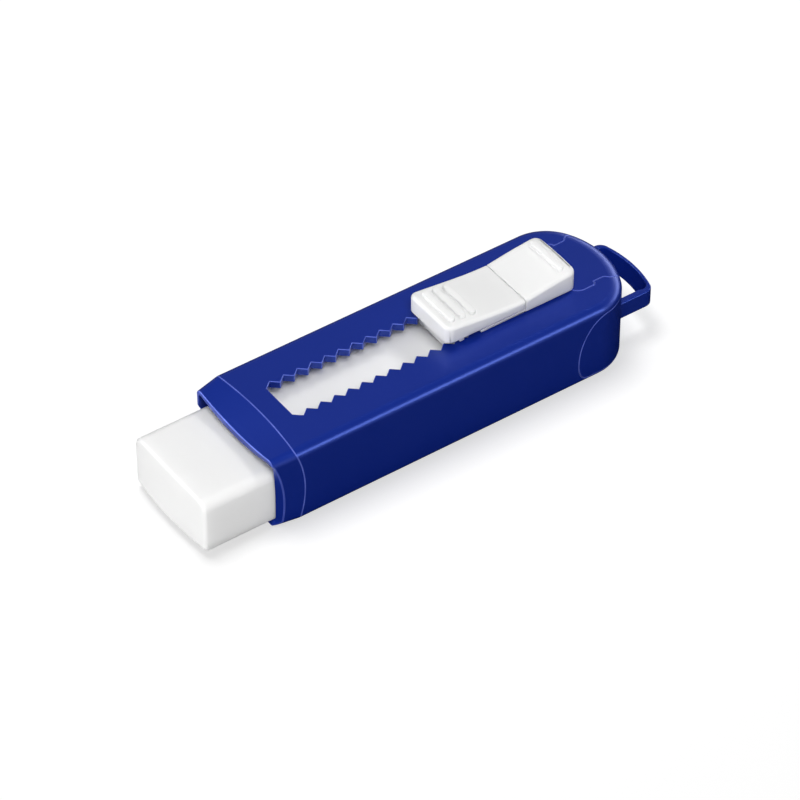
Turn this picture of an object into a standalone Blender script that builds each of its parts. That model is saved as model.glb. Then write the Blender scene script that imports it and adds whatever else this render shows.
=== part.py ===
"""Eraser in a sliding sleeve, modelled as separate pieces at real size, in metres.

X runs along the sleeve: the eraser's tip points to -X and the hanging loop to +X.
Z is up. The origin is the middle of the sleeve's flat bottom.
"""
import math

import bmesh
import bpy
from mathutils import Matrix, Vector
from mathutils.geometry import interpolate_bezier

MM = 0.001

# Clearances
FIT_GAP = 0.3 * MM            # between pieces that touch or sit in one another
BLOCK_SIDE_PLAY = 0.4 * MM    # between the eraser block and each side of the sleeve
CRACK_GAP = 0.3 * MM          # between the front pad and the rear pad

# Eraser block
BLOCK_LENGTH = 65.2 * MM
BLOCK_WIDTH = 22.6 * MM
BLOCK_HEIGHT = 11.1 * MM
BLOCK_EDGE_RADIUS = 1.5 * MM  # of the two long upper edges
BLOCK_TIP_RADIUS = 0.4 * MM
BLOCK_TIP_BULGE = 0.8 * MM    # how far the tip's lower middle swells out

# Sleeve
SLEEVE_LENGTH = 82.4 * MM
SIDE_WALL = 1.3 * MM
TOP_WALL = 1.6 * MM
FLOOR_WALL = 1.1 * MM
HEADROOM = 2.5 * MM           # over the block, for the holder's plate and the latch teeth
EDGE_RADIUS = 1.2 * MM
END_RADIUS = 16.6 * MM        # of the rear end, seen from above
END_CORNER_RADIUS = 9.5 * MM

# Nose: each face tapers to the mouth from a crease that bows back in the middle
NOSE_CORNER_LENGTH = 4.4 * MM
NOSE_TOP_LENGTH = 5.4 * MM    # in the middle of the top
NOSE_SIDE_LENGTH = 6.2 * MM   # in the middle of each side
NOSE_CORNER_DROP = 0.85 * MM
NOSE_TOP_DROP = 1.85 * MM
NOSE_SIDE_DRAW = 0.75 * MM
NOSE_FLOOR_RISE = 0.1 * MM
NOSE_ZONE = 8.0 * MM          # length of the front end that is faceted for the nose
RIM_LEVEL = 5.5 * MM          # height where the bevel beside the mouth is deepest
RIM_REACH = 9.2 * MM          # how far it runs up and down from there
RIM_END_SETBACK = 0.3 * MM
RIM_SETBACK = 1.75 * MM
RIM_END_DEPTH = 0.15 * MM
RIM_DEPTH = 1.1 * MM
LIP_CORNER_WALL = 0.85 * MM   # thickness of the top lip at the mouth
LIP_WALL = 1.3 * MM
THROAT_LENGTH = 6.5 * MM      # from the mouth to the full inner height
CAVITY_EDGE_RADIUS = 0.9 * MM  # of the hollow's two long upper edges

# Notched slot
SLOT_SETBACK = 9.8 * MM       # from the mouth to the slot's front edge
SLOT_TIP_WIDTH = 8.2 * MM     # between facing tooth tips
SLOT_ROOT_WIDTH = 10.8 * MM   # between facing notch roots
TOOTH_PITCH = 3.0 * MM

# Rear cap
CAP_WALL = 1.8 * MM
CAP_TOP_SETDOWN = 1.9 * MM    # from the sleeve's top to the joint line under the rim
CAP_FLOOR_SETUP = 1.0 * MM    # from the bottom to the lower joint line
LOBE_REACH = 15.3 * MM        # from the rear end to the front of each side lobe
LOBE_FRONT_HEIGHT = 5.0 * MM  # where the lobe reaches furthest forward
LOBE_SHOULDER = 6.4 * MM      # length over which the lobe's top edge falls
LOBE_HEEL = 2.4 * MM          # length over which its bottom edge turns in
TONGUE_LENGTH = 12.0 * MM
TONGUE_HEAD_WIDTH = 14.0 * MM
TONGUE_HEAD_LENGTH = 4.8 * MM
TONGUE_HEAD_RADIUS = 2.2 * MM
TONGUE_STEP = 0.5 * MM
TONGUE_NECK_WIDTH = 12.2 * MM
TONGUE_NECK_LENGTH = 2.0 * MM
TONGUE_FLARE_LENGTH = 1.8 * MM
TONGUE_ROOT_WIDTH = 14.1 * MM
SPIGOT_REACH = 4.0 * MM       # how far the inner guides stand forward of the lobes
SPIGOT_LENGTH = 9.0 * MM
SPIGOT_WALL = 1.5 * MM
SPIGOT_LOW = 3.2 * MM
SPIGOT_HEIGHT = 8.0 * MM

# Hanging loop, moulded with the cap
LOOP_GAP = 5.2 * MM           # from the rear end to the inside of the loop's bar
LOOP_BAR = 1.7 * MM
LOOP_LEG = 1.5 * MM
LOOP_WIDTH = 16.8 * MM
LOOP_HEIGHT = 3.8 * MM
LOOP_LEVEL = 7.9 * MM         # height of the loop's middle
LOOP_CORNER_RADIUS = 2.0 * MM
LOOP_EDGE_RADIUS = 0.5 * MM

# Slider and thumb button
REST_NOTCH_COUNT = 11         # notches in front of the latch where the slider stands
SLIDER_WIDTH = 12.5 * MM
BUTTON_LENGTH = 17.4 * MM
REAR_PAD_LENGTH = 11.5 * MM
BUTTON_CREST = 4.85 * MM      # height of the front pad's end over the sleeve
REAR_PAD_CREST = 5.2 * MM     # height of the rear pad's end
PAD_DIP = 3.15 * MM           # height at the crack between the pads
PAD_CORNER_RADIUS = 1.6 * MM  # of the outer corners, seen from above
PAD_EDGE_RADIUS = 0.7 * MM
BUTTON_LIFT = 1.2 * MM        # clear height under the button
BUTTON_WALL = 1.3 * MM
BUTTON_POCKET = 1.2 * MM
LATCH_TO_CRACK = 13.9 * MM
RIB_LENGTH = 9.4 * MM
RIB_WIDTH = 1.0 * MM
RIB_HEIGHT = 0.45 * MM
RIB_PITCH = 2.3 * MM
RIB_SETBACK = 2.4 * MM        # from each pad's outer end to its first rib
RIB_COUNT = 3
FOOT_LENGTH = 1.0 * MM
FOOT_WIDTH = 0.8 * MM
FOOT_DROP = 0.7 * MM
FOOT_SETBACK = 3.4 * MM
PAD_RELIEF = 0.1 * MM         # how far the rear pad stands over the plate's underside
PLATE_THICKNESS = 0.5 * MM    # of the slider's plate under both pads
PLATE_LENGTH = 9.9 * MM       # of its part in front of the crack
PLATE_INSET = 0.15 * MM
STEM_LENGTH = 9.4 * MM
STEM_END = 1.2 * MM           # how far the stem runs behind the crack
HOOK_LENGTH = 4.0 * MM        # of the hook under the stem, through the holder's window
HOOK_BARB = 0.8 * MM
HOOK_BARB_HEIGHT = 0.9 * MM

# Latch spring
LATCH_ENGAGEMENT = 0.25 * MM  # how far its teeth reach up into the notches
LATCH_DEPTH = 0.65 * MM       # how far they hang below the sleeve's top wall
LATCH_POST_LENGTH = 3.8 * MM
LATCH_POST_WIDTH = 4.4 * MM
LEAF_LENGTH = 6.6 * MM
LEAF_THICKNESS = 0.45 * MM

# Eraser holder
HOLDER_PLATE = 0.8 * MM
HOLDER_WIDTH = 18.0 * MM
HOLDER_FRONT = 2.2 * MM       # from the latch's middle forward to the holder's front edge
HOLDER_TAIL = 16.5 * MM       # from the latch's middle back to its rear edge
HOLDER_BACK = 1.5 * MM        # thickness of the plate behind the block
HOLDER_BACK_MARGIN = 0.8 * MM  # clear of the sleeve's sides and floor
BLOCK_END = 5.5 * MM          # from the latch's middle back to the block's rear end
PRONG_LENGTH = 9.0 * MM
PRONG_RADIUS = 1.0 * MM
PRONG_TIP_RADIUS = 0.5 * MM
PRONG_SPACING = 10.0 * MM

# Facets
ARC_STEPS = 8
END_STEPS = 12
CURVE_STEPS = 9
EDGE_STEPS = 3
TOP_STRIPS = 12
SIDE_STRIPS = 8
PRONG_SIDES = 12
CUTTER_REACH = 3.0 * MM       # how far cutting shapes stand past what they cut
FLATNESS = 0.0003 * MM        # how far a flat face's corners may stand off it

# Places that follow from the sizes
SLEEVE_WIDTH = BLOCK_WIDTH + 2 * (BLOCK_SIDE_PLAY + SIDE_WALL)
SLEEVE_HEIGHT = FLOOR_WALL + FIT_GAP + BLOCK_HEIGHT + HEADROOM + TOP_WALL
INNER_TOP = SLEEVE_HEIGHT - TOP_WALL
INNER_HALF = BLOCK_WIDTH / 2 + BLOCK_SIDE_PLAY
MOUTH_X = -SLEEVE_LENGTH / 2
REAR_X = SLEEVE_LENGTH / 2
SLOT_FRONT_X = MOUTH_X + SLOT_SETBACK
TONGUE_FRONT_X = REAR_X - TONGUE_LENGTH
SLOT_END_X = TONGUE_FRONT_X - FIT_GAP
NOTCH_COUNT = int((SLOT_END_X - SLOT_FRONT_X) / TOOTH_PITCH)
LATCH_X = SLOT_FRONT_X + TOOTH_PITCH * (REST_NOTCH_COUNT + 1)
CRACK_X = LATCH_X + LATCH_TO_CRACK
BUTTON_REAR_X = CRACK_X - CRACK_GAP / 2
BUTTON_FRONT_X = BUTTON_REAR_X - BUTTON_LENGTH
PAD_FRONT_X = CRACK_X + CRACK_GAP / 2
PAD_REAR_X = PAD_FRONT_X + REAR_PAD_LENGTH
BLOCK_REAR_X = LATCH_X + BLOCK_END
BLOCK_LOW = FLOOR_WALL + FIT_GAP
BLOCK_TOP = BLOCK_LOW + BLOCK_HEIGHT
HOLDER_LOW = BLOCK_TOP + FIT_GAP
HOLDER_TOP = HOLDER_LOW + HOLDER_PLATE
PLATE_LOW = SLEEVE_HEIGHT + FIT_GAP
PLATE_TOP = PLATE_LOW + PLATE_THICKNESS
BUTTON_LOW = SLEEVE_HEIGHT + BUTTON_LIFT
STEM_HALF = SLOT_TIP_WIDTH / 2 - FIT_GAP
STEM_REAR_X = CRACK_X + STEM_END
HOOK_X = STEM_REAR_X - STEM_LENGTH / 2 + HOOK_BARB


def upright(u, v, level):
    """Place a point of a plan outline: u along X, v along Y."""
    return Vector((u, v, level))


def sideways(u, v, level):
    """Place a point of a side profile: u along X, v along Z."""
    return Vector((u, level, v))


def face_outwards(form):
    """Turn every face of a closed form outwards."""
    form.normal_update()
    bmesh.ops.recalc_face_normals(form, faces=form.faces)


def split_twisted(form):
    """Part a form's twisted faces into flat triangles, then face them all outwards."""
    form.normal_update()
    twisted = []
    for face in form.faces:
        middle = face.calc_center_median()
        if max(abs((vert.co - middle).dot(face.normal)) for vert in face.verts) > FLATNESS:
            twisted.append(face)
    bmesh.ops.triangulate(form, faces=twisted, quad_method='SHORT_EDGE')
    face_outwards(form)


def prism(outline, low, high, place=upright):
    """Closed solid: a flat outline drawn out between two levels."""
    form = bmesh.new()
    face = form.faces.new([form.verts.new(place(u, v, low)) for u, v in outline])
    drawn = bmesh.ops.extrude_face_region(form, geom=[face], use_keep_orig=True)
    lifted = [item for item in drawn["geom"] if isinstance(item, bmesh.types.BMVert)]
    bmesh.ops.translate(form, verts=lifted, vec=place(0, 0, high) - place(0, 0, low))
    face_outwards(form)
    return form


def box(low, high):
    """Box between two corners."""
    outline = [(low[0], low[1]), (high[0], low[1]), (high[0], high[1]), (low[0], high[1])]
    return prism(outline, low[2], high[2])


def rod(start, radius, end_radius, length):
    """Round bar along -X from a start point, tapering to its end radius."""
    form = bmesh.new()
    middle = Vector(start) - Vector((length / 2, 0.0, 0.0))
    place = Matrix.Translation(middle) @ Matrix.Rotation(-math.pi / 2, 4, 'Y')
    bmesh.ops.create_cone(form, cap_ends=True, segments=PRONG_SIDES, radius1=radius,
                          radius2=end_radius, depth=length, matrix=place)
    return form


def gather(forms):
    """One form that holds several separate ones."""
    whole = bmesh.new()
    for form in forms:
        mesh = bpy.data.meshes.new("gathered")
        form.to_mesh(mesh)
        form.free()
        whole.from_mesh(mesh)
        bpy.data.meshes.remove(mesh)
    return whole


def round_edges(form, edges, radius, steps=EDGE_STEPS):
    """Round the chosen edges of a form."""
    bmesh.ops.bevel(form, geom=edges, offset=radius, offset_type='OFFSET', segments=steps,
                    profile=0.5, affect='EDGES', clamp_overlap=True, material=-1)


def add_object(name, form):
    """Object of a finished form, smooth where it is round."""
    mesh = bpy.data.meshes.new(name)
    form.to_mesh(mesh)
    form.free()
    mesh.shade_smooth()
    mesh.set_sharp_from_angle(angle=math.radians(35))
    made = bpy.data.objects.new(name, mesh)
    bpy.context.scene.collection.objects.link(made)
    return made


def add_piece(name, form, colour, roughness):
    """Named piece with its own material."""
    piece = add_object(name, form)
    material = bpy.data.materials.new(name + "_finish")
    material.use_nodes = True
    shader = material.node_tree.nodes["Principled BSDF"]
    shader.inputs["Base Color"].default_value = (*colour, 1.0)
    shader.inputs["Roughness"].default_value = roughness
    shader.inputs["Metallic"].default_value = 0.0
    piece.data.materials.append(material)
    return piece


def add_helper(name, form):
    """Shape that only cuts, joins or limits a piece."""
    helper = add_object(name, form)
    helper.hide_render = True
    helper.display_type = 'WIRE'
    return helper


def combine(piece, helper, operation):
    """Boolean of a piece with a helper, kept live."""
    step = piece.modifiers.new(helper.name, 'BOOLEAN')
    step.operation = operation
    step.solver = 'EXACT'
    step.object = helper


def arc(centre, radius, start, end, steps):
    """Points of an arc, angles in radians, both ends included."""
    points = []
    for step in range(steps + 1):
        angle = start + (end - start) * step / steps
        points.append((centre[0] + radius * math.cos(angle), centre[1] + radius * math.sin(angle)))
    return points


def curve(start, start_handle, end_handle, end, steps=CURVE_STEPS):
    """Points of a smooth flat curve, both ends included."""
    knots = [Vector(point).to_3d() for point in (start, start_handle, end_handle, end)]
    return [(point.x, point.y) for point in interpolate_bezier(*knots, steps)]


def grown(outline, distance):
    """Copy of a closed counter-clockwise outline with every side moved outwards."""
    result = []
    for index, point in enumerate(outline):
        here = Vector(point)
        arriving = (here - Vector(outline[index - 1])).normalized()
        leaving = (Vector(outline[(index + 1) % len(outline)]) - here).normalized()
        arriving_out = Vector((arriving.y, -arriving.x))
        leaving_out = Vector((leaving.y, -leaving.x))
        middle = (arriving_out + leaving_out).normalized()
        moved = here + middle * distance / middle.dot(arriving_out)
        result.append((moved.x, moved.y))
    return result


def plan_outline(front_x, inset=0.0):
    """The body seen from above: straight sides and a rounded rear end."""
    half = SLEEVE_WIDTH / 2 - inset
    end_centre = REAR_X - END_RADIUS
    corner_y = SLEEVE_WIDTH / 2 - END_CORNER_RADIUS
    corner_x = end_centre + math.sqrt((END_RADIUS - END_CORNER_RADIUS) ** 2 - corner_y ** 2)
    turn = math.atan2(corner_y, corner_x - end_centre)
    corner = END_CORNER_RADIUS - inset
    right_angle = math.pi / 2
    near = arc((corner_x, -corner_y), corner, -right_angle, -turn, ARC_STEPS)
    end = arc((end_centre, 0.0), END_RADIUS - inset, -turn, turn, END_STEPS)
    far = arc((corner_x, corner_y), corner, turn, right_angle, ARC_STEPS)
    return [(front_x, -half)] + near + end[1:-1] + far + [(front_x, half)]


def slice_front(form, point, normal, end_x):
    """Cut the faces in front of a station along a plane."""
    faces = [face for face in form.faces if face.calc_center_median().x < end_x]
    edges = {edge for face in faces for edge in face.edges}
    verts = {vert for face in faces for vert in face.verts}
    bmesh.ops.bisect_plane(form, geom=[*faces, *edges, *verts], plane_co=point, plane_no=normal,
                           dist=FLATNESS)


def shape_nose(form):
    """Taper the front end of the body from a bowed crease down to the mouth."""
    half_width = SLEEVE_WIDTH / 2
    zone_x = MOUTH_X + NOSE_ZONE
    crease_x = MOUTH_X + NOSE_CORNER_LENGTH
    slice_front(form, (zone_x, 0, 0), (1, 0, 0), REAR_X)
    slice_front(form, (crease_x, 0, 0), (1, 0, 0), zone_x)
    for strip in range(1, TOP_STRIPS):
        slice_front(form, (0, half_width * (2 * strip / TOP_STRIPS - 1), 0), (0, 1, 0), zone_x)
    for strip in range(1, SIDE_STRIPS):
        slice_front(form, (0, 0, SLEEVE_HEIGHT * strip / SIDE_STRIPS), (0, 0, 1), zone_x)
    for vert in form.verts:
        across = vert.co.y / half_width
        upward = vert.co.z / SLEEVE_HEIGHT
        top_bow = 1.0 - across ** 2
        side_bow = 4.0 * upward * (1.0 - upward)
        if vert.co.x < MOUTH_X + FIT_GAP:
            drop = NOSE_CORNER_DROP + (NOSE_TOP_DROP - NOSE_CORNER_DROP) * top_bow
            vert.co.y = across * (half_width - NOSE_SIDE_DRAW)
            vert.co.z = NOSE_FLOOR_RISE + upward * (SLEEVE_HEIGHT - NOSE_FLOOR_RISE - drop)
        elif vert.co.x < crease_x + FIT_GAP:
            vert.co.x += (NOSE_TOP_LENGTH - NOSE_CORNER_LENGTH) * top_bow
            vert.co.x += (NOSE_SIDE_LENGTH - NOSE_CORNER_LENGTH) * side_bow
    mouth = [face for face in form.faces if max(vert.co.x for vert in face.verts) < MOUTH_X + FIT_GAP]
    bmesh.ops.dissolve_faces(form, faces=mouth)
    split_twisted(form)


def body_form():
    """Outside of sleeve and cap in one, with rounded long edges and a tapered nose."""
    form = prism(plan_outline(MOUTH_X), 0.0, SLEEVE_HEIGHT)
    level_edges = []
    for edge in form.edges:
        first, second = edge.verts[0].co, edge.verts[1].co
        at_mouth = max(first.x, second.x) < MOUTH_X + FIT_GAP
        if abs(first.z - second.z) < EDGE_RADIUS and not at_mouth:
            level_edges.append(edge)
    round_edges(form, level_edges, EDGE_RADIUS)
    shape_nose(form)
    return form


def strip_box(strips):
    """Two-unit cube cut into strips across Y."""
    form = bmesh.new()
    bmesh.ops.create_cube(form, size=2.0)
    crosswise = [edge for edge in form.edges if edge.verts[0].co.y * edge.verts[1].co.y < 0]
    bmesh.ops.subdivide_edges(form, edges=crosswise, cuts=strips - 1, use_grid_fill=True)
    return form


def rim_form(side):
    """Solid that bevels the rim on one side of the mouth, deepest at one height."""
    form = strip_box(TOP_STRIPS)
    face_y = SLEEVE_WIDTH / 2 - NOSE_SIDE_DRAW
    for vert in form.verts:
        upward = vert.co.y * (RIM_REACH + CUTTER_REACH)
        bow = max(1.0 - (upward / RIM_REACH) ** 2, 0.0)
        setback = RIM_END_SETBACK + (RIM_SETBACK - RIM_END_SETBACK) * bow
        slope = (RIM_END_DEPTH + (RIM_DEPTH - RIM_END_DEPTH) * bow) / setback
        reach = -CUTTER_REACH if vert.co.x < 0 else setback + CUTTER_REACH
        out = slope * (reach - setback) if vert.co.z < 0 else 2 * CUTTER_REACH
        vert.co = Vector((MOUTH_X + reach, side * (face_y + out), RIM_LEVEL + upward))
    split_twisted(form)
    return form


def cavity_form():
    """The hollow of the sleeve: a straight tunnel whose roof comes down to the lip."""
    form = strip_box(TOP_STRIPS)
    lengthwise = [edge for edge in form.edges if edge.verts[0].co.x * edge.verts[1].co.x < 0]
    bmesh.ops.subdivide_edges(form, edges=lengthwise, cuts=1, use_grid_fill=True)
    for vert in form.verts:
        station, across = vert.co.x, vert.co.y
        corner_fall = NOSE_CORNER_DROP + LIP_CORNER_WALL - TOP_WALL
        middle_fall = NOSE_TOP_DROP + LIP_WALL - TOP_WALL
        fall = corner_fall + (middle_fall - corner_fall) * (1.0 - across ** 2)
        x = MOUTH_X + THROAT_LENGTH
        roof = INNER_TOP
        if station < -0.5:
            x = MOUTH_X - CUTTER_REACH
            roof -= fall * (THROAT_LENGTH + CUTTER_REACH) / THROAT_LENGTH
        elif station > 0.5:
            x = REAR_X + CUTTER_REACH
        vert.co = Vector((x, across * INNER_HALF, roof if vert.co.z > 0 else FLOOR_WALL))
    form.normal_update()
    upper_edges = []
    for edge in form.edges:
        first, second = edge.verts[0].co, edge.verts[1].co
        along = abs(first.x - second.x) > THROAT_LENGTH
        if along and edge.calc_face_angle() > 1.0 and min(first.z, second.z) > BLOCK_HEIGHT / 2:
            upper_edges.append(edge)
    round_edges(form, upper_edges, CAVITY_EDGE_RADIUS)
    split_twisted(form)
    return form


def slot_outline():
    """The slot seen from above: V notches along both edges, square at the front."""
    half_tip = SLOT_TIP_WIDTH / 2
    half_root = SLOT_ROOT_WIDTH / 2
    near = [(SLOT_FRONT_X, -half_tip)]
    for notch in range(NOTCH_COUNT):
        root_x = SLOT_FRONT_X + (notch + 0.5) * TOOTH_PITCH
        near += [(root_x, -half_root), (root_x + TOOTH_PITCH / 2, -half_tip)]
    near.append((TONGUE_FRONT_X + FIT_GAP, -half_tip))
    return near + [(x, -y) for x, y in reversed(near)]


def tongue_outline():
    """The cap's tongue seen from above: a head, a neck that the sleeve grips, and a root."""
    head, neck, root = TONGUE_HEAD_WIDTH / 2, TONGUE_NECK_WIDTH / 2, TONGUE_ROOT_WIDTH / 2
    step_x = TONGUE_FRONT_X + TONGUE_HEAD_LENGTH
    flare_x = step_x + TONGUE_NECK_LENGTH
    flare_end_x = flare_x + TONGUE_FLARE_LENGTH
    flare_mid_x = (flare_x + flare_end_x) / 2
    corner = (TONGUE_FRONT_X + TONGUE_HEAD_RADIUS, TONGUE_HEAD_RADIUS - head)
    near = arc(corner, TONGUE_HEAD_RADIUS, math.pi, 1.5 * math.pi, ARC_STEPS)
    near += [(step_x - TONGUE_STEP, -head), (step_x, TONGUE_STEP - head), (step_x, -neck)]
    near += curve((flare_x, -neck), (flare_mid_x, -neck), (flare_mid_x, -root), (flare_end_x, -root))
    near.append((REAR_X + CUTTER_REACH, -root))
    return near + [(x, -y) for x, y in reversed(near)]


def lobe_outline():
    """The cap seen from the side: the joint line round each lobe, open to the rear."""
    top = SLEEVE_HEIGHT - CAP_TOP_SETDOWN
    low = CAP_FLOOR_SETUP
    front_x = REAR_X - LOBE_REACH
    shoulder_x = front_x + LOBE_SHOULDER
    heel_x = front_x + LOBE_HEEL
    behind_x = REAR_X + CUTTER_REACH
    fall = curve((shoulder_x, top), (shoulder_x - 0.45 * LOBE_SHOULDER, top),
                 (front_x, LOBE_FRONT_HEIGHT + 0.57 * (top - LOBE_FRONT_HEIGHT)),
                 (front_x, LOBE_FRONT_HEIGHT))
    turn_in = curve((front_x, LOBE_FRONT_HEIGHT), (front_x, (LOBE_FRONT_HEIGHT + low) / 2),
                    (front_x + 0.2 * LOBE_HEEL, low), (heel_x, low))
    return [(behind_x, top)] + fall + turn_in[1:] + [(behind_x, low)]


def make_sleeve():
    """Blue tube with its tapered nose, notched slot and the seat of the cap."""
    sleeve = add_piece("sleeve", body_form(), (0.012, 0.028, 0.23), 0.32)
    half_width = SLEEVE_WIDTH / 2 + CUTTER_REACH
    above = SLEEVE_HEIGHT + CUTTER_REACH
    below = INNER_TOP - FIT_GAP
    cuts = {
        "near_rim": rim_form(-1),
        "far_rim": rim_form(1),
        "cavity": cavity_form(),
        "slot": prism(slot_outline(), below, above),
        "tongue_seat": prism(grown(tongue_outline(), FIT_GAP), below, above),
        "lobe_seat": prism(lobe_outline(), -half_width, half_width, sideways),
    }
    for name, form in cuts.items():
        combine(sleeve, add_helper(name, form), 'DIFFERENCE')


def loop_form():
    """The hanging loop: two straight legs and a bar that follows the rear end's curve."""
    centre_x = REAR_X - END_RADIUS
    inner_radius = END_RADIUS + LOOP_GAP
    outer_radius = inner_radius + LOOP_BAR
    root_x = REAR_X - END_RADIUS / 2

    def course(half, radius, corner):
        reach_y = half - corner
        reach_x = math.sqrt((radius - corner) ** 2 - reach_y ** 2)
        turn = math.atan2(reach_y, reach_x)
        points = [(root_x, -half)]
        points += arc((centre_x + reach_x, -reach_y), corner, -math.pi / 2, -turn, EDGE_STEPS)
        points += arc((centre_x, 0.0), radius, -turn, turn, END_STEPS)[1:-1]
        points += arc((centre_x + reach_x, reach_y), corner, turn, math.pi / 2, EDGE_STEPS)
        return points + [(root_x, half)]

    outer = course(LOOP_WIDTH / 2, outer_radius, LOOP_CORNER_RADIUS)
    inner = course(LOOP_WIDTH / 2 - LOOP_LEG, inner_radius, LOOP_CORNER_RADIUS - LOOP_LEG / 2)
    low = LOOP_LEVEL - LOOP_HEIGHT / 2
    form = prism(outer + inner[::-1], low, low + LOOP_HEIGHT)
    rims = [edge for edge in form.edges if abs(edge.verts[0].co.z - edge.verts[1].co.z) < LOOP_HEIGHT / 2]
    round_edges(form, rims, LOOP_EDGE_RADIUS, 2)
    return form


def spigot_forms():
    """Two inner guides that enter the sleeve beside its walls."""
    front_x = REAR_X - LOBE_REACH - SPIGOT_REACH
    outer = INNER_HALF - FIT_GAP
    inner = outer - SPIGOT_WALL
    forms = []
    for low_y, high_y in ((-outer, -inner), (inner, outer)):
        forms.append(box((front_x, low_y, SPIGOT_LOW),
                         (front_x + SPIGOT_LENGTH, high_y, SPIGOT_LOW + SPIGOT_HEIGHT)))
    return forms


def make_rear_cap():
    """Blue end piece: a rounded wall with side lobes, a top tongue and the hanging loop."""
    half_width = SLEEVE_WIDTH / 2 + CUTTER_REACH
    lobes = prism(grown(lobe_outline(), -FIT_GAP), -half_width, half_width, sideways)
    cap = add_piece("rear_cap", lobes, (0.012, 0.028, 0.23), 0.32)
    tongue = prism(tongue_outline(), SLEEVE_HEIGHT / 2, SLEEVE_HEIGHT + CUTTER_REACH)
    hollow = prism(plan_outline(MOUTH_X, CAP_WALL), -CUTTER_REACH, INNER_TOP)
    combine(cap, add_helper("tongue", tongue), 'UNION')
    combine(cap, add_helper("body_outside", body_form()), 'INTERSECT')
    combine(cap, add_helper("loop", loop_form()), 'UNION')
    combine(cap, add_helper("cap_hollow", hollow), 'DIFFERENCE')
    combine(cap, add_helper("spigots", gather(spigot_forms())), 'UNION')


def prong_forms(clearance):
    """The two prongs behind the block, or with a clearance the holes that take them."""
    forms = []
    for sign in (-1, 1):
        start = (BLOCK_REAR_X + HOLDER_BACK, sign * PRONG_SPACING / 2, BLOCK_LOW + BLOCK_HEIGHT / 2)
        length = HOLDER_BACK + PRONG_LENGTH + clearance
        forms.append(rod(start, PRONG_RADIUS + clearance, PRONG_TIP_RADIUS + clearance, length))
    return forms


def make_eraser_block():
    """White block with rounded upper edges, a slightly swollen tip and two holes in its rear end."""
    half = BLOCK_WIDTH / 2
    front_x = BLOCK_REAR_X - BLOCK_LENGTH
    form = strip_box(TOP_STRIPS)
    for vert in form.verts:
        swell = BLOCK_TIP_BULGE * (1.0 - vert.co.y ** 2) if vert.co.z < 0 else 0.0
        x = BLOCK_REAR_X if vert.co.x > 0 else front_x - swell
        vert.co = Vector((x, vert.co.y * half, BLOCK_TOP if vert.co.z > 0 else BLOCK_LOW))
    form.normal_update()
    long_edges = [edge for edge in form.edges if edge.calc_face_angle() > 1.0
                  and abs(edge.verts[0].co.x - edge.verts[1].co.x) > BLOCK_LENGTH / 2
                  and edge.verts[0].co.z > BLOCK_HEIGHT]
    round_edges(form, long_edges, BLOCK_EDGE_RADIUS)
    form.normal_update()
    tip_edges = [edge for edge in form.edges if edge.calc_face_angle() > 1.0
                 and max(edge.verts[0].co.x, edge.verts[1].co.x) < front_x + BLOCK_TIP_RADIUS]
    round_edges(form, tip_edges, BLOCK_TIP_RADIUS, 2)
    split_twisted(form)
    block = add_piece("eraser_block", form, (0.86, 0.86, 0.85), 0.6)
    combine(block, add_helper("prong_holes", gather(prong_forms(FIT_GAP))), 'DIFFERENCE')


def make_eraser_holder():
    """White carrier: a plate over the block's rear end, a plate behind it and two prongs."""
    half = HOLDER_WIDTH / 2
    plate = box((LATCH_X - HOLDER_FRONT, -half, HOLDER_LOW), (LATCH_X + HOLDER_TAIL, half, HOLDER_TOP))
    holder = add_piece("eraser_holder", plate, (0.80, 0.80, 0.79), 0.4)
    back_x = BLOCK_REAR_X + FIT_GAP
    back_half = INNER_HALF - HOLDER_BACK_MARGIN
    back = box((back_x, -back_half, FLOOR_WALL + HOLDER_BACK_MARGIN),
               (back_x + HOLDER_BACK, back_half, HOLDER_LOW + HOLDER_PLATE / 2))
    window_half = HOOK_LENGTH / 2 + FIT_GAP
    window = box((HOOK_X - window_half, -STEM_HALF, HOLDER_LOW - CUTTER_REACH / 2),
                 (HOOK_X + window_half, STEM_HALF, HOLDER_TOP + CUTTER_REACH / 2))
    combine(holder, add_helper("holder_back", back), 'UNION')
    combine(holder, add_helper("prongs", gather(prong_forms(0.0))), 'UNION')
    combine(holder, add_helper("hook_window", window), 'DIFFERENCE')


def pad_height(x, inner_x, outer_x, crest):
    """Height of a pad's top: level at the crack, then rising to a crest at its outer end."""
    place = (x - inner_x) / (outer_x - inner_x) * CURVE_STEPS
    step = min(int(place), CURVE_STEPS - 1)
    shares = [(2.0 - at) * at ** 2 for at in (step / CURVE_STEPS, (step + 1) / CURVE_STEPS)]
    share = shares[0] + (shares[1] - shares[0]) * (place - step)
    return SLEEVE_HEIGHT + PAD_DIP + (crest - PAD_DIP) * share


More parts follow.
